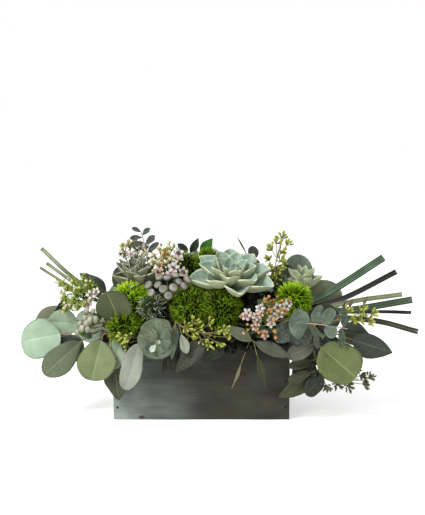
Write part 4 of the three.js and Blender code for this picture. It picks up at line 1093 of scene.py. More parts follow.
# %% Baby eucalyptus and ruscus
BABY_EUCALYPTUS = {
    "baby_eucalyptus_right": (
        [(76, -22, 98), (86, -34, 130), (112, -62, 139), (139, -86, 147), (172, -94, 146), (206, -92, 140)], [
            (0.7, (123, -97, 151), (32, 42), (0.1, -1, 0.1), "#505f4f", "round", 1),
            (0.74, (167, -97, 175), (30, 20), (0.35, -1, 0.1), "#4c5b4c", "round", 1),
            (0.8, (186, -94, 169), (30, 20), (0.2, -1, 0.1), "#475647", "round", 1),
            (0.82, (188, -101, 130), (20, 18), (0.2, -1, 0), "#505f4f", "round", 1),
            (0.97, (201, -90, 164), (24, 14), (0.4, -1, 0.1), "#3a4637", "oval", 1),
            (0.95, (197, -99, 114), (28, 13), (0.5, -1, 0), "#374233", "oval", 1),
            (0.56, (104, -94, 123), (32, 27), (0, -1, 0.1), "#303b31", "round", 1),
            (0.62, (140, -86, 113), (36, 34), (0, -1, 0.1), "#252d24", "round", 1),
            (0.74, (163, -103, 114), (32, 9), (0.3, -1, 0), "#363f31", "oval", 1),
        ]),
    "baby_eucalyptus_front_left": ([(-46, -32, 98), (-52, -46, 128), (-58, -72, 128), (-62, -98, 122)], [
        (0.96, (-89, -97, 131), (30, 38), (0, -1, 0.2), "#566148", "round", 1),
        (0.93, (-64, -93, 155), (35, 46), (0.1, -1, 0.25), "#5a664d", "round", 1),
        (0.9, (-42, -99, 123), (28, 38), (0.2, -1, 0.1), "#4d5943", "round", 1),
        (0.96, (-60, -104, 99), (28, 42), (0.1, -1, -0.1), "#48553f", "round", 1),
        (1, (-71, -110, 111), (13, 9), (0, -1, 0.3), "#bcc8ba", "oval", 0),
        (1, (-57, -110, 125), (10, 7), (0, -1, 0.3), "#9fae9d", "oval", 0),
    ]),
    "baby_eucalyptus_top_left": (
        [(-74, 28, 98), (-76, 28, 130), (-78, 24, 190), (-82, 22, 232), (-89, 20, 262)], [
            (0.8, (-63, 16, 247), (24, 9), (0.3, -1, 0.7), "#2f3731", "oval", 1),
            (0.9, (-105, 16, 243), (22, 9), (-0.2, -1, 0.7), "#2c342e", "oval", 1),
            (0.88, (-69, 16, 257), (23, 10), (0.3, -1, 0.7), "#333b35", "oval", 1),
            (0.95, (-106, 16, 253), (19, 8), (-0.2, -1, 0.7), "#2c342e", "oval", 1),
            (0.97, (-76, 18, 268), (17, 8), (0.3, -1, 0.7), "#333b35", "oval", 1),
            (1, (-103, 20, 268), (15, 7), (-0.2, -1, 0.7), "#2f3731", "oval", 1),
        ]),
}
RUSCUS = {
    "ruscus_top": ([(-8, 36, 98), (-8, 38, 130), (-10, 40, 200), (-18, 36, 226)], [
        (1, (-5, 28, 252), (27, 12), (0.3, -1, 0.2), "#3b413c", "pointed", 2),
        (0.86, (16, 26, 252), (34, 17), (-0.2, -1, 0.3), "#33601a", "pointed", 2),
        (1, (-36, 32, 243), (20, 13), (0, -1, 0.4), "#2a3625", "pointed", 1),
        (0.8, (-12, 62, 236), (28, 12), (0, 1, 0.6), "#3b5430", "pointed", 1),
    ]),
}
print("small-leaved stems:", len(BABY_EUCALYPTUS) + len(RUSCUS))

# %% Seeded eucalyptus
# A row is (stem, leaves, places of the capsule umbels).
SEEDED_EUCALYPTUS = {
    "seeded_eucalyptus_front_left": ([(-62, -34, 98), (-70, -48, 125), (-79, -68, 126), (-86, -80, 123)], [
        (1, (-107, -102, 54), (68, 31), (0.1, -1, 0.1), "#8b9084", "shield"),
    ], [(-104, -84, 126), (-113, -82, 128), (-108, -82, 116), (-74, -84, 108)]),
    "seeded_eucalyptus_front_center": (
        [(-18, -34, 98), (-26, -48, 126), (-37, -76, 148), (-24, -91, 141), (14, -94, 132)], [
            (0.5, (-42, -106, 98), (64, 14), (0.35, -1, 0), "#5b644f", "lance"),
            (0.62, (-20, -108, 108), (29, 14), (0.1, -1, 0.1), "#7f8476", "oval", 1),
            (0.55, (-40, -98, 80), (38, 22), (0.3, -1, 0), "#12150c", "oval", 2),
            (0.5, (-52, -92, 76), (30, 14), (0.2, -1, 0), "#1d2115", "oval", 1),
            (1, (-36, -101, 79), (60, 28), (-0.3, -1, 0.3), "#23261a", "pointed", 4),
        ], [(-19, -92, 143), (-8, -92, 150), (2, -94, 144), (14, -96, 150), (-14, -92, 126), (2, -98, 122),
            (14, -98, 118), (26, -98, 120), (38, -94, 128), (34, -94, 140), (24, -96, 134), (-10, -94, 135)]),
    "seeded_eucalyptus_front_right": ([(54, -30, 98), (58, -48, 125), (64, -70, 124), (74, -84, 120)], [
        (1, (30, -90, 144), (50, 18), (0, -1, 0.4), "#596049", "lance", 2),
        (1, (128, -90, 98), (56, 19), (0, -1, 0.3), "#44493b", "pointed", 2),
        (0.9, (43, -87, 52), (38, 6), (0.9, -1, 0), "#777a5e", "lance", 1),
        (0.6, (0, -92, 91), (44, 17), (0, -1, 0.5), "#363c2f", "lance", 2),
        (0.6, (104, -72, 132), (36, 18), (0, -1, 0.5), "#3d4436", "lance", 1),
        (1, (92, -92, 50), (52, 11), (0.5, -1, 0), "#31371f", "lance", 1),
    ], []),
    "seeded_eucalyptus_low_right": (
        [(98, -18, 98), (112, -27, 127), (138, -50, 125), (160, -64, 104), (168, -68, 78), (186, -66, 62),
         (226, -62, 60)], [
            (0.6, (124, -82, 82), (36, 16), (0, -1, 0.5), "#3b3f2a", "oval", 1),
            (0.68, (124, -82, 62), (36, 17), (0, -1, 0.4), "#363a26", "oval", 1),
            (0.74, (110, -80, 38), (54, 24), (0, -1, 0.2), "#34391f", "pointed", 2),
            (0.72, (150, -78, 40), (40, 26), (0.2, -1, 0.1), "#20251a", "oval", 2),
            (0.7, (148, -64, 50), (34, 30), (0, -1, 0.1), "#181c12"),
            (0.64, (131, -66, 62), (38, 32), (0, -1, 0.1), "#181c12"),
        ], [(198, -64, 50), (213, -62, 48), (224, -62, 76), (236, -64, 52), (245, -65, 61), (180, -66, 48),
            (232, -62, 66)]),
    "seeded_eucalyptus_right": (
        [(84, -24, 98), (95, -33, 130), (130, -52, 147), (170, -58, 142), (206, -60, 148), (238, -60, 152)], [
            (0.3, (80, -66, 177), (44, 24), (0, -1, 0.3), "#5b6450", "pointed"),
            (0.82, (217, -54, 177), (15, 5), (0, -1, 0.3), "#5c5238", "lance", 1),
            (0.76, (208, -54, 174), (14, 5), (0.3, -1, 0.3), "#5c5238", "lance", 1),
            (0.92, (238, -54, 181), (16, 5), (-0.2, -1, 0.3), "#5c5238", "lance", 1),
        ], [(212, -60, 160), (216, -62, 148), (228, -60, 146), (232, -60, 160), (247, -60, 157),
            (243, -62, 147)]),
    "seeded_eucalyptus_top_right": (
        [(56, 16, 98), (62, 18, 130), (92, 14, 180), (106, 8, 208), (114, 10, 240)], [
            (0.62, (69, 24, 228), (32, 16), (0, -1, 0.4), "#6f7a63", "lance", 1),
            (0.5, (74, 28, 240), (20, 16), (0, -1, 0.2), "#333c2e", "round", 1),
            (0.6, (51, 22, 256), (30, 3), (0.3, -1, 0.2), "#44583e", "lance", 1),
        ], [(119, 10, 258), (127, 10, 247), (109, 10, 251), (101, 8, 240), (119, 8, 236), (97, 2, 226),
            (117, 2, 224), (91, 0, 213), (104, -4, 211), (116, -2, 212), (98, -8, 198), (110, -8, 197)]),
    "seeded_eucalyptus_back": ([(20, 26, 98), (21, 48, 125), (18, 72, 128), (4, 86, 122), (-14, 90, 114)], [
        (0.6, (44, 88, 62), (54, 18), (0, 1, 0.1), "#4c5342", "lance"),
        (0.75, (10, 94, 56), (50, 18), (0.2, 1, 0.1), "#596049", "lance"),
        (0.9, (-38, 96, 66), (52, 18), (-0.2, 1, 0.1), "#44493b", "lance"),
        (0.55, (60, 82, 110), (38, 14), (0, 1, 0.4), "#4c5342", "lance"),
    ], [(-16, 94, 126), (-28, 94, 116), (-6, 96, 108), (-22, 92, 102), (-36, 92, 108)]),
}
print("capsule groups:", sum(len(groups) for _, _, groups in SEEDED_EUCALYPTUS.values()))

# %% Fruits and flowers
# (stem, radii of a fruit, places of the fruits)
BRUNIA = {
    "brunia_center": ([(-52, -12, 98), (-51, -18, 130), (-49, -34, 160), (-48, -42, 178)], (6, 6, 5.2), [
        (-75, -56, 196), (-62, -56, 196), (-60, -48, 205), (-54, -62, 191), (-47, -68, 183),
        (-71, -62, 186), (-40, -61, 193), (-32, -54, 200), (-25, -58, 195), (-20, -52, 203),
        (-49, -48, 205), (-37, -46, 208)]),
    "brunia_left": ([(-92, 2, 98), (-100, -2, 130), (-124, -30, 147), (-148, -62, 152)], (3.8, 3.8, 5.2), [
        (-163, -76, 162), (-154, -74, 161), (-165, -80, 152), (-150, -78, 150), (-172, -78, 144),
        (-158, -82, 150), (-169, -82, 138), (-161, -84, 137), (-176, -80, 132), (-163, -82, 145)]),
    "brunia_back": ([(40, 26, 98), (42, 36, 130), (38, 52, 160), (36, 60, 174)], (6, 6, 5.2), [
        (36, 74, 188), (24, 70, 190), (48, 70, 188), (30, 80, 177), (43, 81, 178), (55, 72, 176),
        (17, 74, 178), (38, 64, 198)]),
}
# (stem, places of the flowers, places of the bud groups)
WAXFLOWER = {
    "waxflower_center": (
        [(-36, 4, 98), (-38, 4, 130), (-44, -4, 175), (-50, -14, 212)],
        [(-34, -18, 236), (-41, -34, 217), (-27, -34, 211), (-62, -30, 211)],
        [(-63, -15, 243), (-54, -12, 241), (-46, -16, 244), (-60, -22, 230), (-51, -18, 234), (-51, -26, 224),
         (-68, -20, 234), (-44, -18, 230), (-57, -28, 219), (-38, -20, 226), (-66, -22, 222)]),
    "waxflower_front_right": (
        [(64, -26, 98), (70, -42, 130), (82, -62, 142), (92, -72, 152)],
        [(63, -82, 156), (84, -84, 168), (76, -92, 144), (98, -92, 148), (110, -88, 160), (122, -78, 173),
         (89, -92, 131), (78, -88, 157)],
        [(108, -68, 181), (98, -72, 176), (107, -78, 169), (93, -84, 161), (119, -84, 161), (66, -90, 138),
         (104, -92, 136), (100, -84, 166), (90, -80, 176)]),
    "waxflower_left": (
        [(-100, 16, 98), (-112, 12, 130), (-142, -8, 158), (-170, -34, 174)],
        [(-158, -56, 182), (-163, -60, 169)],
        [(-175, -46, 190), (-171, -34, 203), (-196, -38, 190), (-206, -36, 196), (-186, -38, 199),
         (-201, -44, 174), (-178, -52, 160), (-160, -36, 198), (-189, -46, 166), (-184, -46, 181),
         (-196, -44, 156)]),
    "waxflower_back_left": (
        [(-84, 20, 98), (-92, 24, 130), (-104, 28, 178), (-102, 28, 212)],
        [(-96, 24, 233), (-82, 26, 238), (-114, 24, 228)],
        [(-118, 22, 217), (-107, 24, 241), (-118, 22, 238), (-90, 28, 242), (-104, 22, 220), (-88, 24, 225),
         (-78, 24, 222), (-98, 28, 244)]),
    "waxflower_back": (
        [(-22, 26, 98), (-26, 40, 130), (-26, 56, 158), (-24, 64, 172)],
        [(-30, 74, 190), (-14, 74, 186), (-40, 76, 178), (-22, 82, 176), (-8, 78, 174)],
        [(-22, 72, 198), (-38, 72, 190), (-6, 72, 184), (-32, 84, 172), (-14, 82, 166)]),
}
print("fruits:", sum(len(fruits) for _, _, fruits in BRUNIA.values()), "waxflowers:", len(WAXFLOWER))

# %% Grass, heads and rosettes
# (path, width, finish)
LILY_GRASS = {
    "lily_grass_right_1": (
        [(102, 12, 98), (108, 12, 130), (188, 0, 176), (268, 18, 224)], 11, white_striped_grass),
    "lily_grass_right_2": (
        [(102, 4, 98), (108, 4, 130), (206, -12, 168), (285, 0, 206)], 8, dark_grass),
    "lily_grass_right_3": (
        [(104, -36, 98), (109, -34, 130), (208, -26, 164), (292, -15, 175)], 7, pale_grass),
    "lily_grass_right_4": (
        [(88, -12, 98), (100, -14, 131), (230, -36, 158), (304, -36, 171)], 10, green_grass),
    "lily_grass_right_5": (
        [(78, -4, 98), (94, -6, 133), (250, -20, 150), (304, -30, 151)], 5, dark_grass),
    "lily_grass_right_6": (
        [(88, 8, 98), (104, -1, 132), (244, -42, 142), (312, -46, 126)], 8, olive_grass),
    "lily_grass_left_1": (
        [(-100, 38, 98), (-106, 37, 130), (-190, 10, 196), (-237, 24, 237)], 6, pale_grass),
    "lily_grass_left_2": (
        [(-100, 32, 98), (-106, 30, 130), (-188, 0, 190), (-228, 10, 217)], 5, pale_grass),
    "lily_grass_left_3": (
        [(-102, 24, 98), (-108, 22, 130), (-190, -8, 184), (-236, -5, 213)], 4, pale_grass),
}
# (centre, radii, foot of the stem)
DIANTHUS = {
    "dianthus_front_left": ((-14, -40, 160), (32, 31, 36), (-6, -14, 98)),
    "dianthus_front_right": ((28, -36, 156), (33, 32, 34), (24, -12, 98)),
    "dianthus_left": ((-100, -34, 164), (33, 32, 34), (-74, -6, 98)),
    "dianthus_low_left": ((-112, -62, 134), (26, 22, 26), (-84, -36, 98)),
    "dianthus_right": ((134, -34, 170), (29, 24, 27), (68, -8, 98)),
    "dianthus_top_left": ((-22, 8, 214), (20, 20, 22), (-20, 8, 98)),
    "dianthus_top": ((10, 26, 216), (22, 22, 22), (6, 18, 98)),
    "dianthus_back_left": ((-68, 40, 160), (32, 28, 32), (-52, 20, 98)),
    "dianthus_back_right": ((70, 42, 160), (32, 28, 32), (52, 6, 98)),
}
# (centre, radius, stem)
ERYNGIUM = ((-72, -62, 166), 19, [(-60, -18, 98), (-64, -28, 130), (-70, -50, 152), (-72, -60, 160)])
# (centre, axis, radius, leaves, lean of the first and the last leaf in degrees, width for a length of one,
# turn in radians, share of the length that the inner leaves have, path of the pick)
ECHEVERIA = {
    "center": ((43, -24, 196), (0.04, -0.36, 0.93), 66, 24, (10, 78), 0.64, 0.9, 0.3,
               [(40, 4, 98), (41, 0, 130), (43, -18, 190)]),
    "left": ((-94, -4, 184), (-0.05, -0.34, 0.94), 52, 16, (2, 54), 0.5, 0, 0.75,
             [(-66, 8, 98), (-72, 8, 130), (-93, 0, 178)]),
    "right": ((148, 2, 181), (0.0, -0.3, 0.95), 38, 12, (3, 52), 0.5, 1, 0.8,
              [(74, 6, 98), (88, 8, 130), (147, 6, 173)]),
}
print("heads:", len(DIANTHUS), "rosettes:", len(ECHEVERIA), "straps:", len(LILY_GRASS))

# %% [markdown]
# ## Finishing a piece
# The parts of one stem are joined into one mesh, which rides on the body and stands for its CAD solid.


# %% Finishing a piece
def finish_piece(name, meshes, nodes):
    """Joins the meshes into one piece in place of the CAD nodes."""
    parts = [bpy.data.objects.new(name, mesh) for mesh in meshes]
    for part in parts:
        scene.collection.objects.link(part)
    if len(parts) > 1:
        chosen = {"active_object": parts[0], "object": parts[0], "selected_editable_objects": parts}
        with bpy.context.temp_override(**chosen):
            bpy.ops.object.join()
    piece = parts[0]
    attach(piece, "root")
    if nodes:
        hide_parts(*nodes)
    print(name, len(piece.data.polygons), "faces")


def tubes(lines, finish, sides=8):
    """Round stems along rows of (point, radius)."""
    return grow("tubes", tube_tree, line_mesh(lines), {"Sides": sides, "Finish": finish})


def cluster(heads, piece, finish, seed=1):
    """A copy of a seed piece at each (place, direction, size)."""
    return grow("cluster", cluster_tree, point_mesh(heads), {"Piece": piece, "Seed": seed, "Finish": finish})


# %% [markdown]
# ## The box
# Each board is a closed block whose surface points are pulled to a worn, uneven edge radius and pressed
# in along the grain. A saw and years of rain do the same: the soft wood between the grain lines sinks.


# %% A worn block
def rough_block(name, lo, hi, spacing, worn, relief, grain_axis, finish):
    """A closed block with worn edges and a surface lowered by a noise that is stretched along the grain."""
    lines = []
    for k in range(3):
        inner = np.linspace(lo[k] + worn, hi[k] - worn, max(2, round((hi[k] - lo[k]) / spacing[k])))
        lines.append([lo[k], lo[k] + 0.3 * worn, *inner, hi[k] - 0.3 * worn, hi[k]])
    counts = [len(row) for row in lines]
    index = {}
    points = []

    def corner(*place):
        """The number of the point at a place of the grid, made when it is first asked for."""
        if place not in index:
            index[place] = len(points)
            points.append(Vector([lines[k][place[k]] for k in range(3)]))
        return index[place]

    faces = []
    for k in range(3):
        a, b = (k + 1) % 3, (k + 2) % 3
        for end in (0, counts[k] - 1):
            for i in range(counts[a] - 1):
                for j in range(counts[b] - 1):
                    square = []
                    for di, dj in ((0, 0), (1, 0), (1, 1), (0, 1)):
                        place = [0, 0, 0]
                        place[k], place[a], place[b] = end, i + di, j + dj
                        square.append(corner(*place))
                    faces.append(square if end else square[::-1])
    # The hollows are about 3 mm wide and 60 mm long.
    stretch = [0.35] * 3
    stretch[grain_axis] = 0.016
    settled = []
    for p in points:
        rough = noise.noise(Vector([c * s for c, s in zip(p, stretch)]))
        wear = worn * (0.75 + 0.5 * noise.noise(p * 0.05))
        core = Vector([min(max(p[k], lo[k] + wear), hi[k] - wear) for k in range(3)])
        out = p - core
        p = core + out.normalized() * (wear - relief * (0.5 + rough)) if out.length else p
        settled.append(p)
    made = bpy.data.meshes.new(name)
    made.from_pydata([tuple(MM * c for c in p) for p in settled], [], faces)
    made.materials.append(finish)
    made.polygons.foreach_set("use_smooth", [True] * len(faces))
    return made


def node_box(node):
    """A CAD node's lowest and highest corners in millimetres."""
    lo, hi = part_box(node)
    return lo / MM, hi / MM


# %% Boards
for node, axis, finish in (("front_panel", 0, pine_long), ("back_panel", 0, pine_long),
                           ("left_end_panel", 1, pine_end), ("right_end_panel", 1, pine_end),
                           ("bottom_board", 0, pine_long)):
    # Millimetres between surface points: close across the height, wider along the grain.
    spacing = [3.0, 3.0, 1.6]
    spacing[axis] = 6.0
    lo, hi = node_box(node)
    board = rough_block(node, lo, hi, spacing, 1.3, 0.5, axis, finish)
    finish_piece(node + "_finished", [board], [node])

# %% [markdown]
# ## Nails
# The long boards are nailed to the ends, three nails in a row at each corner. Only their heads show. They
# are drawn steel that has rusted brown, and a cluster sets one worn head on each place.

# %% Nails
nail_skin = small_finish("steel_nail_rusted", ("#1b1917", "#2e2722"), 1.5, 0.7, relief_mm=0.1)
nail_piece = seed_object("nail_head", lathe([(-1.2, 1.0), (-0.1, 1.9), (0.3, 1.7), (0.45, 0.9)], 10))
half_board = 6
sunk = 0.2
nails = []
for node, way in (("front_panel", -1), ("back_panel", 1)):
    lo, hi = node_box(node)
    face = lo[1] if way < 0 else hi[1]
    for x in (lo[0] + half_board, hi[0] - half_board):
        for share in (0.16, 0.5, 0.84):
            nails.append(((x, face - way * sunk, lo[2] + share * (hi[2] - lo[2])), (0, way, 0), 1))
finish_piece("nail_heads", [cluster(nails, nail_piece, nail_skin)], [])

# %% [markdown]
# ## Foam and liner
# Wet floral foam crumbles at its edges, so its block is rougher than the boards. The liner keeps the CAD
# solid's shape, because only its rim could be seen, and it takes a finish of its own.

# %% Foam and liner
lo, hi = node_box("foam_block")
wet_foam = rough_block("foam", lo, hi, [4, 4, 4], 2.0, 1.4, 2, foam_skin)
finish_piece("foam_block_finished", [wet_foam], ["foam_block"])
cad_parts["liner"].data.materials.clear()
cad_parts["liner"].data.materials.append(liner_skin)
print("liner:", liner_skin.name)

# %% [markdown]
# ## Eucalyptus and ruscus
# Leaves are separate shells on one stem. Capsules hang in small umbels: the stalk forks, and each fork
# ends in a club-shaped capsule.


# %% One branch
def leafy_stem(name, stem, leaves, skin, groups=(), twig=stem_skin, capsule=capsule_skin,
               thick=1.8, umbel=8):
    """A stem with its leaves, and an umbel of capsules round each group's place.

    A leaf whose row gives no outline is round, and one that gives no bow has 3 mm.
    """
    path = Path(stem)
    rng = random.Random(name)
    shells = Shells()
    lines = [stem_line(path, thick, 0.55 * thick)]
    for number, (at, tip, size, face, tint, *shape) in enumerate(leaves):
        outline, bow = (*shape, *("round", 3)[len(shape):])
        start, tip = path.at(at), Vector(tip)
        base = tip.lerp(start, min(0.96, size[0] / (tip - start).length))
        small = min(size) < 20
        add_blade(shells, base, tip, size[1], face, outline, tint, f"{name}{number}", start, bow,
                  neck=0.6 if small else 0.9, spans=10 if small else 14)
    heads = []
    for place in groups:
        fork = path.fork(Vector(place))
        way = (Vector(place) - fork).normalized()
        hub = Vector(place) - way * 5
        lines.append(stalk_line(fork, hub, 0.6, 0.5))
        for _ in range(umbel):
            turned = (way + 1.1 * Vector([rng.uniform(-1, 1) for _ in range(3)])).normalized()
            end = hub + turned * rng.uniform(5, 10.5)
            lines.append(stalk_line(hub, end - turned * 3, 0.4, 0.45, 0))
            heads.append((end, turned, rng.uniform(0.65, 1.0)))
    meshes = [shells.mesh(name, [skin, twig]), tubes(lines, twig)]
    if heads:
        meshes.append(cluster(heads, capsule_piece, capsule, len(heads)))
    finish_piece(name + "_finished", meshes, [name])


# %% Branches
# The capsules of the low right-hand sprig are dark olive instead of lime.
dark_capsule_skin = small_finish("eucalyptus_capsule_dark_olive", ("#4a5436", "#5f6a44"), 3, 0.5,
                                 [(0.0, "#39422b"), (1.0, "#6d7850")])
for name, (stem, leaves) in SILVER_DOLLAR.items():
    leafy_stem(name, stem, leaves, dollar_skin)
for name, (stem, leaves) in BABY_EUCALYPTUS.items():
    leafy_stem(name, stem, leaves, baby_skin, twig=dusted_twig, thick=1.2)
for name, (stem, leaves) in RUSCUS.items():
    leafy_stem(name, stem, leaves, ruscus_skin, twig=green_stem, thick=1.4)
for name, (stem, leaves, groups) in SEEDED_EUCALYPTUS.items():
    capsule = dark_capsule_skin if name.endswith("low_right") else capsule_skin
    leafy_stem(name, stem, leaves, seeded_skin, groups, tan_twig, capsule, thick=1.4,
               umbel=14 if name.endswith("right") else 8)

# %% [markdown]
# ## Lily grass
# A strap is folded along its middle like a shallow gutter, ribbed across, and cut square at its end.


# %% Lily grass
def strap(name, points, width, finish):
    """One blade of grass along a path, 0.6 mm thick, with ribs a quarter of a millimetre high."""
    path = Path(points)
    across = (-1, -0.67, -0.33, 0, 0.33, 0.67, 1)
    order = [(s, 1) for s in across] + [(s, -1) for s in across[-2:0:-1]]
    rings = []
    spans = 40
    for k in range(spans + 1):
        t = k / spans
        middle = path.at(t)
        along = (path.at(min(1, t + 0.01)) - path.at(max(0, t - 0.01))).normalized()
        side = along.cross(Vector((0, -1, 0.4))).normalized()
        up = side.cross(along)
        half = OUTLINES["strap"](t) * width / 2
        ring = []
        for s, upper in order:
            lift = 0.22 * half * abs(s) + 0.12 * math.cos(3 * math.pi * s)
            rise = lift + (upper * 0.3 if abs(s) < 1 else 0)
            ring.append((middle + side * half * s + up * rise, ((s + 1) / 2, t), 1 if upper > 0 else 0))
        rings.append(ring)
    shells = Shells()
    ends = [ring[0][0].lerp(ring[len(across) - 1][0], 0.5) for ring in (rings[0], rings[-1])]
    shells.loft(rings, ends, linear("#3e6b45"), [0] * spans)
    finish_piece(name + "_finished", [shells.mesh(name, [finish])], [name])


for name, (points, width, finish) in LILY_GRASS.items():
    strap(name, points, width, finish)

# %% [markdown]
# ## Green dianthus
# The round heads of this dianthus have no petals, only thousands of soft green filaments. A heart painted
# almost black, as shade inside the head, fills it, and the brush tree covers it with leaning filaments whose
# length varies over a few millimetres, so that the surface breaks into tufts; the clefts between them are
# darkened as painted shade.


# %% Heads and brushes
def rounded_head(centre, radii, detail, dents, floor=-1e3):
    """An uneven round surface, without the faces below the floor."""
    shape = bmesh.new()
    bmesh.ops.create_icosphere(shape, subdivisions=detail, radius=1)
    for vertex in shape.verts:
        way = vertex.co.copy()
        dent = 1 + dents * noise.noise(way * 2.6 + Vector(centre) * 0.1)
        vertex.co = Vector([MM * (c + r * dent * w) for c, r, w in zip(centre, radii, way)])
    low = [face for face in shape.faces if face.calc_center_median().z < MM * floor]
    bmesh.ops.delete(shape, geom=low, context="FACES")
    made = bpy.data.meshes.new("rounded_head")
    shape.to_mesh(made)
    shape.free()
    made.polygons.foreach_set("use_smooth", [True] * len(made.polygons))
    return made


def brush(surface, piece, finish, density, tilt, size, tuft, seed):
    """density is copies per square millimetre, tilt in degrees, size from least to most, tuft in mm."""
    return grow("brush", brush_tree, surface, {
        "Piece": piece, "Density": density * 1e6, "Least Tilt": math.radians(tilt[0]),
        "Most Tilt": math.radians(tilt[1]), "Least Size": size[0], "Most Size": size[1],
        "Tuft": tuft * MM, "Seed": seed, "Finish": finish,
    })


# %% Green dianthus
for number, (name, (centre, radii, foot)) in enumerate(DIANTHUS.items()):
    entry = [foot[k] * 0.6 + centre[k] * 0.4 for k in range(2)] + [130]
    small = radii[0] < 24
    reach = 8.5 if small else 12
    heart = rounded_head(centre, [r - reach for r in radii], 4, 0.12)
    heart.materials.append(shaded_heart_skin)
    surface = rounded_head(centre, [r - reach for r in radii], 4, 0.12, 120)
    # Painted light: the heads that stand in the light take the brighter filament finish.
    young = name in ("dianthus_left", "dianthus_right")
    filaments = brush(surface, fine_filament_piece if small else filament_piece,
                      lit_filament_skin if young else filament_skin, 0.36,
                      (0, 34), (0.6, 1.12), 9, number)
    stem = tubes([stem_line(Path([foot, entry, centre]), 1.8, 1.6)], green_stem)
    finish_piece(name + "_finished", [filaments, heart, stem], [name])

# %% [markdown]
# ## Sea holly
# A dark cone of florets wears a ruff of narrow silver bracts that curl as they dry.

# %% Sea holly
centre, radius, stem = ERYNGIUM
cone = rounded_head(centre, [0.5 * radius] * 3, 3, 0.2)
# The cone takes the calyx finish painted almost black, as shade under the florets.
cone.materials.append(shaded_heart_skin)
florets = brush(cone, fine_filament_piece, floret_skin, 0.4, (0, 25), (0.35, 0.6), 3, 4)
ruff = brush(cone, bract_piece, bract_skin, 0.12, (15, 65), (0.6, 1.15), 4, 9)
finish_piece("eryngium_finished", [ruff, florets, cone, tubes([stem_line(Path(stem), 1.8, 1.6)], green_stem)],
             ["eryngium"])

# %% [markdown]
# ## Brunia and waxflower
# Clusters put felted fruits, flowers and buds on bent stalks that leave the stem below their head.


# %% Brunia
for name, (stem, radii, fruits) in BRUNIA.items():
    path = Path(stem)
    oval = radii[2] > radii[0]
    lines = [stem_line(path, 1.8, 1.2)]
    heads = []
    for number, place in enumerate(fruits):
        fork = path.fork(Vector(place))
        lines.append(stalk_line(fork, place, 1.2, 1.1))
        way = Vector(place) - fork
        size = radii[0] * (0.98 if number % 3 else 1.08)
        heads.append((place, Vector((0.2, -0.1, 1)) if oval else way, size))
    if oval:
        fruits_mesh = cluster(heads, oval_fruit_piece, shaded_pale_felt_skin, 3)
    else:
        fruits_mesh = cluster(heads, fruit_piece, shaded_felt_skin, 3)
    meshes = [fruits_mesh, tubes(lines, green_stem)]
    finish_piece(name + "_finished", meshes, [name])


# %% Waxflower buds and habit
bud_skin = small_finish("waxflower_bud_orange", ("#a8602a", "#b98a5c"), 5, 0.4,
                        [(0.0, "#5c4a20"), (0.45, "#a0622f"), (1.0, "#cfa066")])
pale_bud_skin = small_finish("waxflower_bud_cream", ("#a9a070", "#c9bfa4"), 5, 0.4,
                             [(0.0, "#6d6a34"), (0.5, "#a89a4c"), (1.0, "#d8cb96")])
# (colour of the buds, extra flowers beside each one, extra buds, needles)
WAXFLOWER_HABIT = {
    "waxflower_center": ("mixed", 2, 3, 220),
    "waxflower_front_right": ("orange", 3, 2, 60),
    "waxflower_left": ("cream", 1, 2, 900),
    "waxflower_back_left": ("mixed", 1, 4, 160),
    "waxflower_back": ("orange", 2, 2, 60),
}


print("waxflower stems:", len(WAXFLOWER_HABIT))


# %% Waxflower
def aside(rng, size):
    """A short random step."""
    return Vector([rng.uniform(-size, size) for _ in range(3)])


for name, (stem, flowers, buds) in WAXFLOWER.items():
    path = Path(stem)
    rng = random.Random(name)
    colour, extra_flowers, extra_buds, leaves = WAXFLOWER_HABIT[name]
    lines = [stem_line(path, 1.3, 0.9)]
    opened = {"pink": [], "white": []}
    closed = {"orange": [], "cream": []}
    needles = []
    forward = 1 if name.endswith("back") else -1
    bloom = 1.3 if name == "waxflower_center" else 1
    for kind, places, extra in (("flower", flowers, extra_flowers), ("bud", buds, extra_buds)):
        for number, place in enumerate(places):
            place = Vector(place)
            fork = path.fork(place)
            way = (place - fork).normalized()
            hub = place - way * 9
            lines.append(stalk_line(fork, hub, 0.7, 0.5))
            for copy in range(1 + extra):
                head = place if copy == 0 else place + aside(rng, 8)
                lines.append(stalk_line(hub, head, 0.45, 0.4))
                if kind == "flower" and (copy == 0 or rng.random() < 0.4):
                    front = Vector((rng.uniform(-0.7, 0.7), forward, rng.uniform(-0.2, 0.8)))
                    rows = opened["white" if rng.random() < 0.7 else "pink"]
                    rows.append((head, way * 0.4 + front.normalized(), rng.uniform(0.8, 1.0) * bloom))
                else:
                    tone = colour if colour != "mixed" else rng.choice(("orange", "cream", "cream"))
                    closed[tone].append((head, way + aside(rng, 0.5), rng.uniform(0.7, 1.15)))
            for _ in range(3):
                spot = fork.lerp(place, rng.uniform(0.25, 0.9))
                needles.append((spot, way + aside(rng, 1), rng.uniform(0.5, 0.9)))
    for _ in range(leaves):
        twig = rng.choice(lines)
        spot = rng.choice(twig[len(twig) // 3:])[0]
        needles.append((spot, Vector((0, 0, 0.5)) + aside(rng, 1), rng.uniform(0.4, 0.9)))
    meshes = [
        cluster(opened["pink"], pink_flower, petal_skin, 2),
        cluster(opened["white"], white_flower, petal_skin, 4),
        cluster(closed["orange"], bud_piece, bud_skin, 6),
        cluster(closed["cream"], bud_piece, pale_bud_skin, 7),
        cluster(needles, needle_piece, needle_skin, 8),
        tubes(lines, green_stem, 6),
    ]
    finish_piece(name + "_finished", meshes, [name])

# %% [markdown]
# ## Echeverias
# The rosette tree lays one fleshy leaf out at the golden angle. The finished rosette is then turned so
# that its axis leans to the front, as the CAD solid's does, and moved to its place.

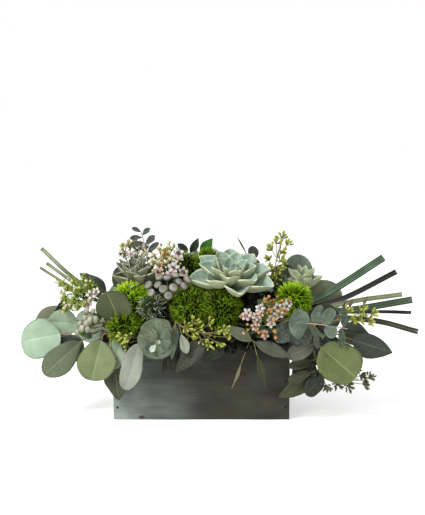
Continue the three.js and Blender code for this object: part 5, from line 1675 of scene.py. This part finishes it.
# %% Echeverias
for name, (centre, axis, radius, count, spread, share, turn, inner, pick) in ECHEVERIA.items():
    rosette = grow("rosette", rosette_tree, bpy.data.meshes.new("start"), {
        "Leaf": broad_leaf if name == "center" else narrow_leaf, "Count": count, "Radius": radius * MM,
        "First Lean": math.radians(spread[0]), "Last Lean": math.radians(spread[1]), "Share": share,
        "Inner Length": inner, "Turn": float(turn), "Finish": ECHEVERIA_SKINS[name],
    })
    up = Vector(axis).normalized()
    right = (Vector((1, 0, 0)) - up * up.x).normalized()
    turned = Matrix((right, up.cross(right), up)).transposed().to_4x4()
    rosette.transform(Matrix.Translation(Vector(centre) * MM) @ turned)
    finish_piece(f"echeveria_{name}_finished", [rosette], [f"echeveria_{name}"])
    finish_piece(f"pick_{name}_finished", [tubes([stem_line(Path(pick), 2, 1.7)], pick_skin, 10)],
                 [f"pick_{name}"])

# %% [markdown]
# ## Tucked leaves
# Florists hide the foam with short pieces of foliage. Their near-black colour is painted shade, for the
# gaps far down between the heads and the rim. One brush lays leaves over a low dome above the foam, and a
# cluster hangs a fringe of them over the rim.

# %% Tucked leaves
# Painted shade: the tucked leaves are almost black, for the shade under the heads.
shaded_tucked_skin = leaf_skin("tucked_foliage_painted_shade", ("#262d1c", 0.4), (10, 10), ("#2c3426", 0.1), 0.55,
                        under=("#1c2216", 0.5))
dome = rounded_head((0, 4, 104), (130, 54, 86), 4, 0.06, 122)
cover = brush(dome, tucked_leaf, shaded_tucked_skin, 0.010, (55, 95), (0.75, 1.25), 16, 21)
rng = random.Random(31)
rim_half_length, rim_half_depth = 118, 52
along_front, along_end = 46, 16
fringe = []
for side in (-1, 1):
    for k in range(along_front):
        x = rim_half_length * (2 * (k + rng.uniform(0, 1)) / along_front - 1)
        fringe.append(((x, side * rng.uniform(50, 60), rng.uniform(112, 124)),
                       (rng.uniform(-0.9, 0.9), side * 1.2, rng.uniform(-0.9, 0.5)), rng.uniform(0.7, 1.1)))
for side in (-1, 1):
    for k in range(along_end):
        y = rim_half_depth * (2 * (k + rng.uniform(0, 1)) / along_end - 1)
        fringe.append(((side * rng.uniform(112, 120), y, rng.uniform(114, 126)),
                       (side * 1.2, rng.uniform(-0.9, 0.9), rng.uniform(-0.8, 0.5)), rng.uniform(0.7, 1.1)))
finish_piece("tucked_leaves", [cover, cluster(fringe, tucked_leaf, shaded_tucked_skin, 17)], [])

# %% [markdown]
# ## Floor and light
# A white sweep and a white surround give soft light from everywhere; one broad lamp above and to the left
# draws the shadow to the right. The sweep glows a little, as acrylic does when it is lit from below, and
# keeps the shadow pale.

# %% Floor and light
floor_finish, floor_tree, floor_shader = new_finish("lit_white_acrylic_sweep", {
    "Roughness": 0.9, "Specular IOR Level": 0.1, "Emission Color": (1, 1, 1, 1), "Emission Strength": 0.48,
})
cloud = add_node(floor_tree, "ShaderNodeTexNoise", {"Scale": 3.0})
sweep_white = add_node(floor_tree, "ShaderNodeMix", {
    0: cloud, 6: linear("#f9f9f9"), 7: linear("#fbfbfb"),
}, data_type="RGBA")
feed(floor_tree, floor_shader, {"Base Color": sweep_white.outputs[2]})
sweep = bpy.data.meshes.new("sweep")
sweep.from_pydata([(-4, -3, 0), (4, -3, 0), (4, 3, 0), (-4, 3, 0)], [], [(0, 1, 2, 3)])
sweep.materials.append(floor_finish)
floor = bpy.data.objects.new("sweep", sweep)
scene.collection.objects.link(floor)

world = bpy.data.worlds.new("white_surround")
world.use_nodes = True
surround = world.node_tree.nodes["Background"]
seen = add_node(world.node_tree, "ShaderNodeLightPath").outputs["Is Camera Ray"]
strength = add_node(world.node_tree, "ShaderNodeMapRange", {"Value": seen, "To Min": 0.58, "To Max": 1.0})
feed(world.node_tree, surround, {"Color": (1, 1, 1, 1), "Strength": strength})
scene.world = world
scene.view_settings.view_transform = "Standard"


def lamp(name, place, target, size, watts):
    """A square soft lamp that looks at a target."""
    light = bpy.data.lights.new(name, "AREA")
    light.size = size
    light.energy = watts
    made = bpy.data.objects.new(name, light)
    made.location = place
    made.rotation_euler = (Vector(target) - Vector(place)).to_track_quat("-Z", "Y").to_euler()
    made.visible_camera = False
    scene.collection.objects.link(made)


lamp("key_lamp", (-1.1, -1.2, 1.7), (0, 0, 0.12), 0.9, 44)
print("lamps:", len(bpy.data.lights), "floor:", floor.name)

# %% [markdown]
# ## Putting the seed pieces away
# The trees have made all their copies, so the seed pieces that they borrowed are removed. The
# finished model must stay within the imported model's box, apart from a few millimetres of soft
# foliage.

# %% Put the seed pieces away
for borrowed in SEED_PIECES:
    bpy.data.objects.remove(borrowed)
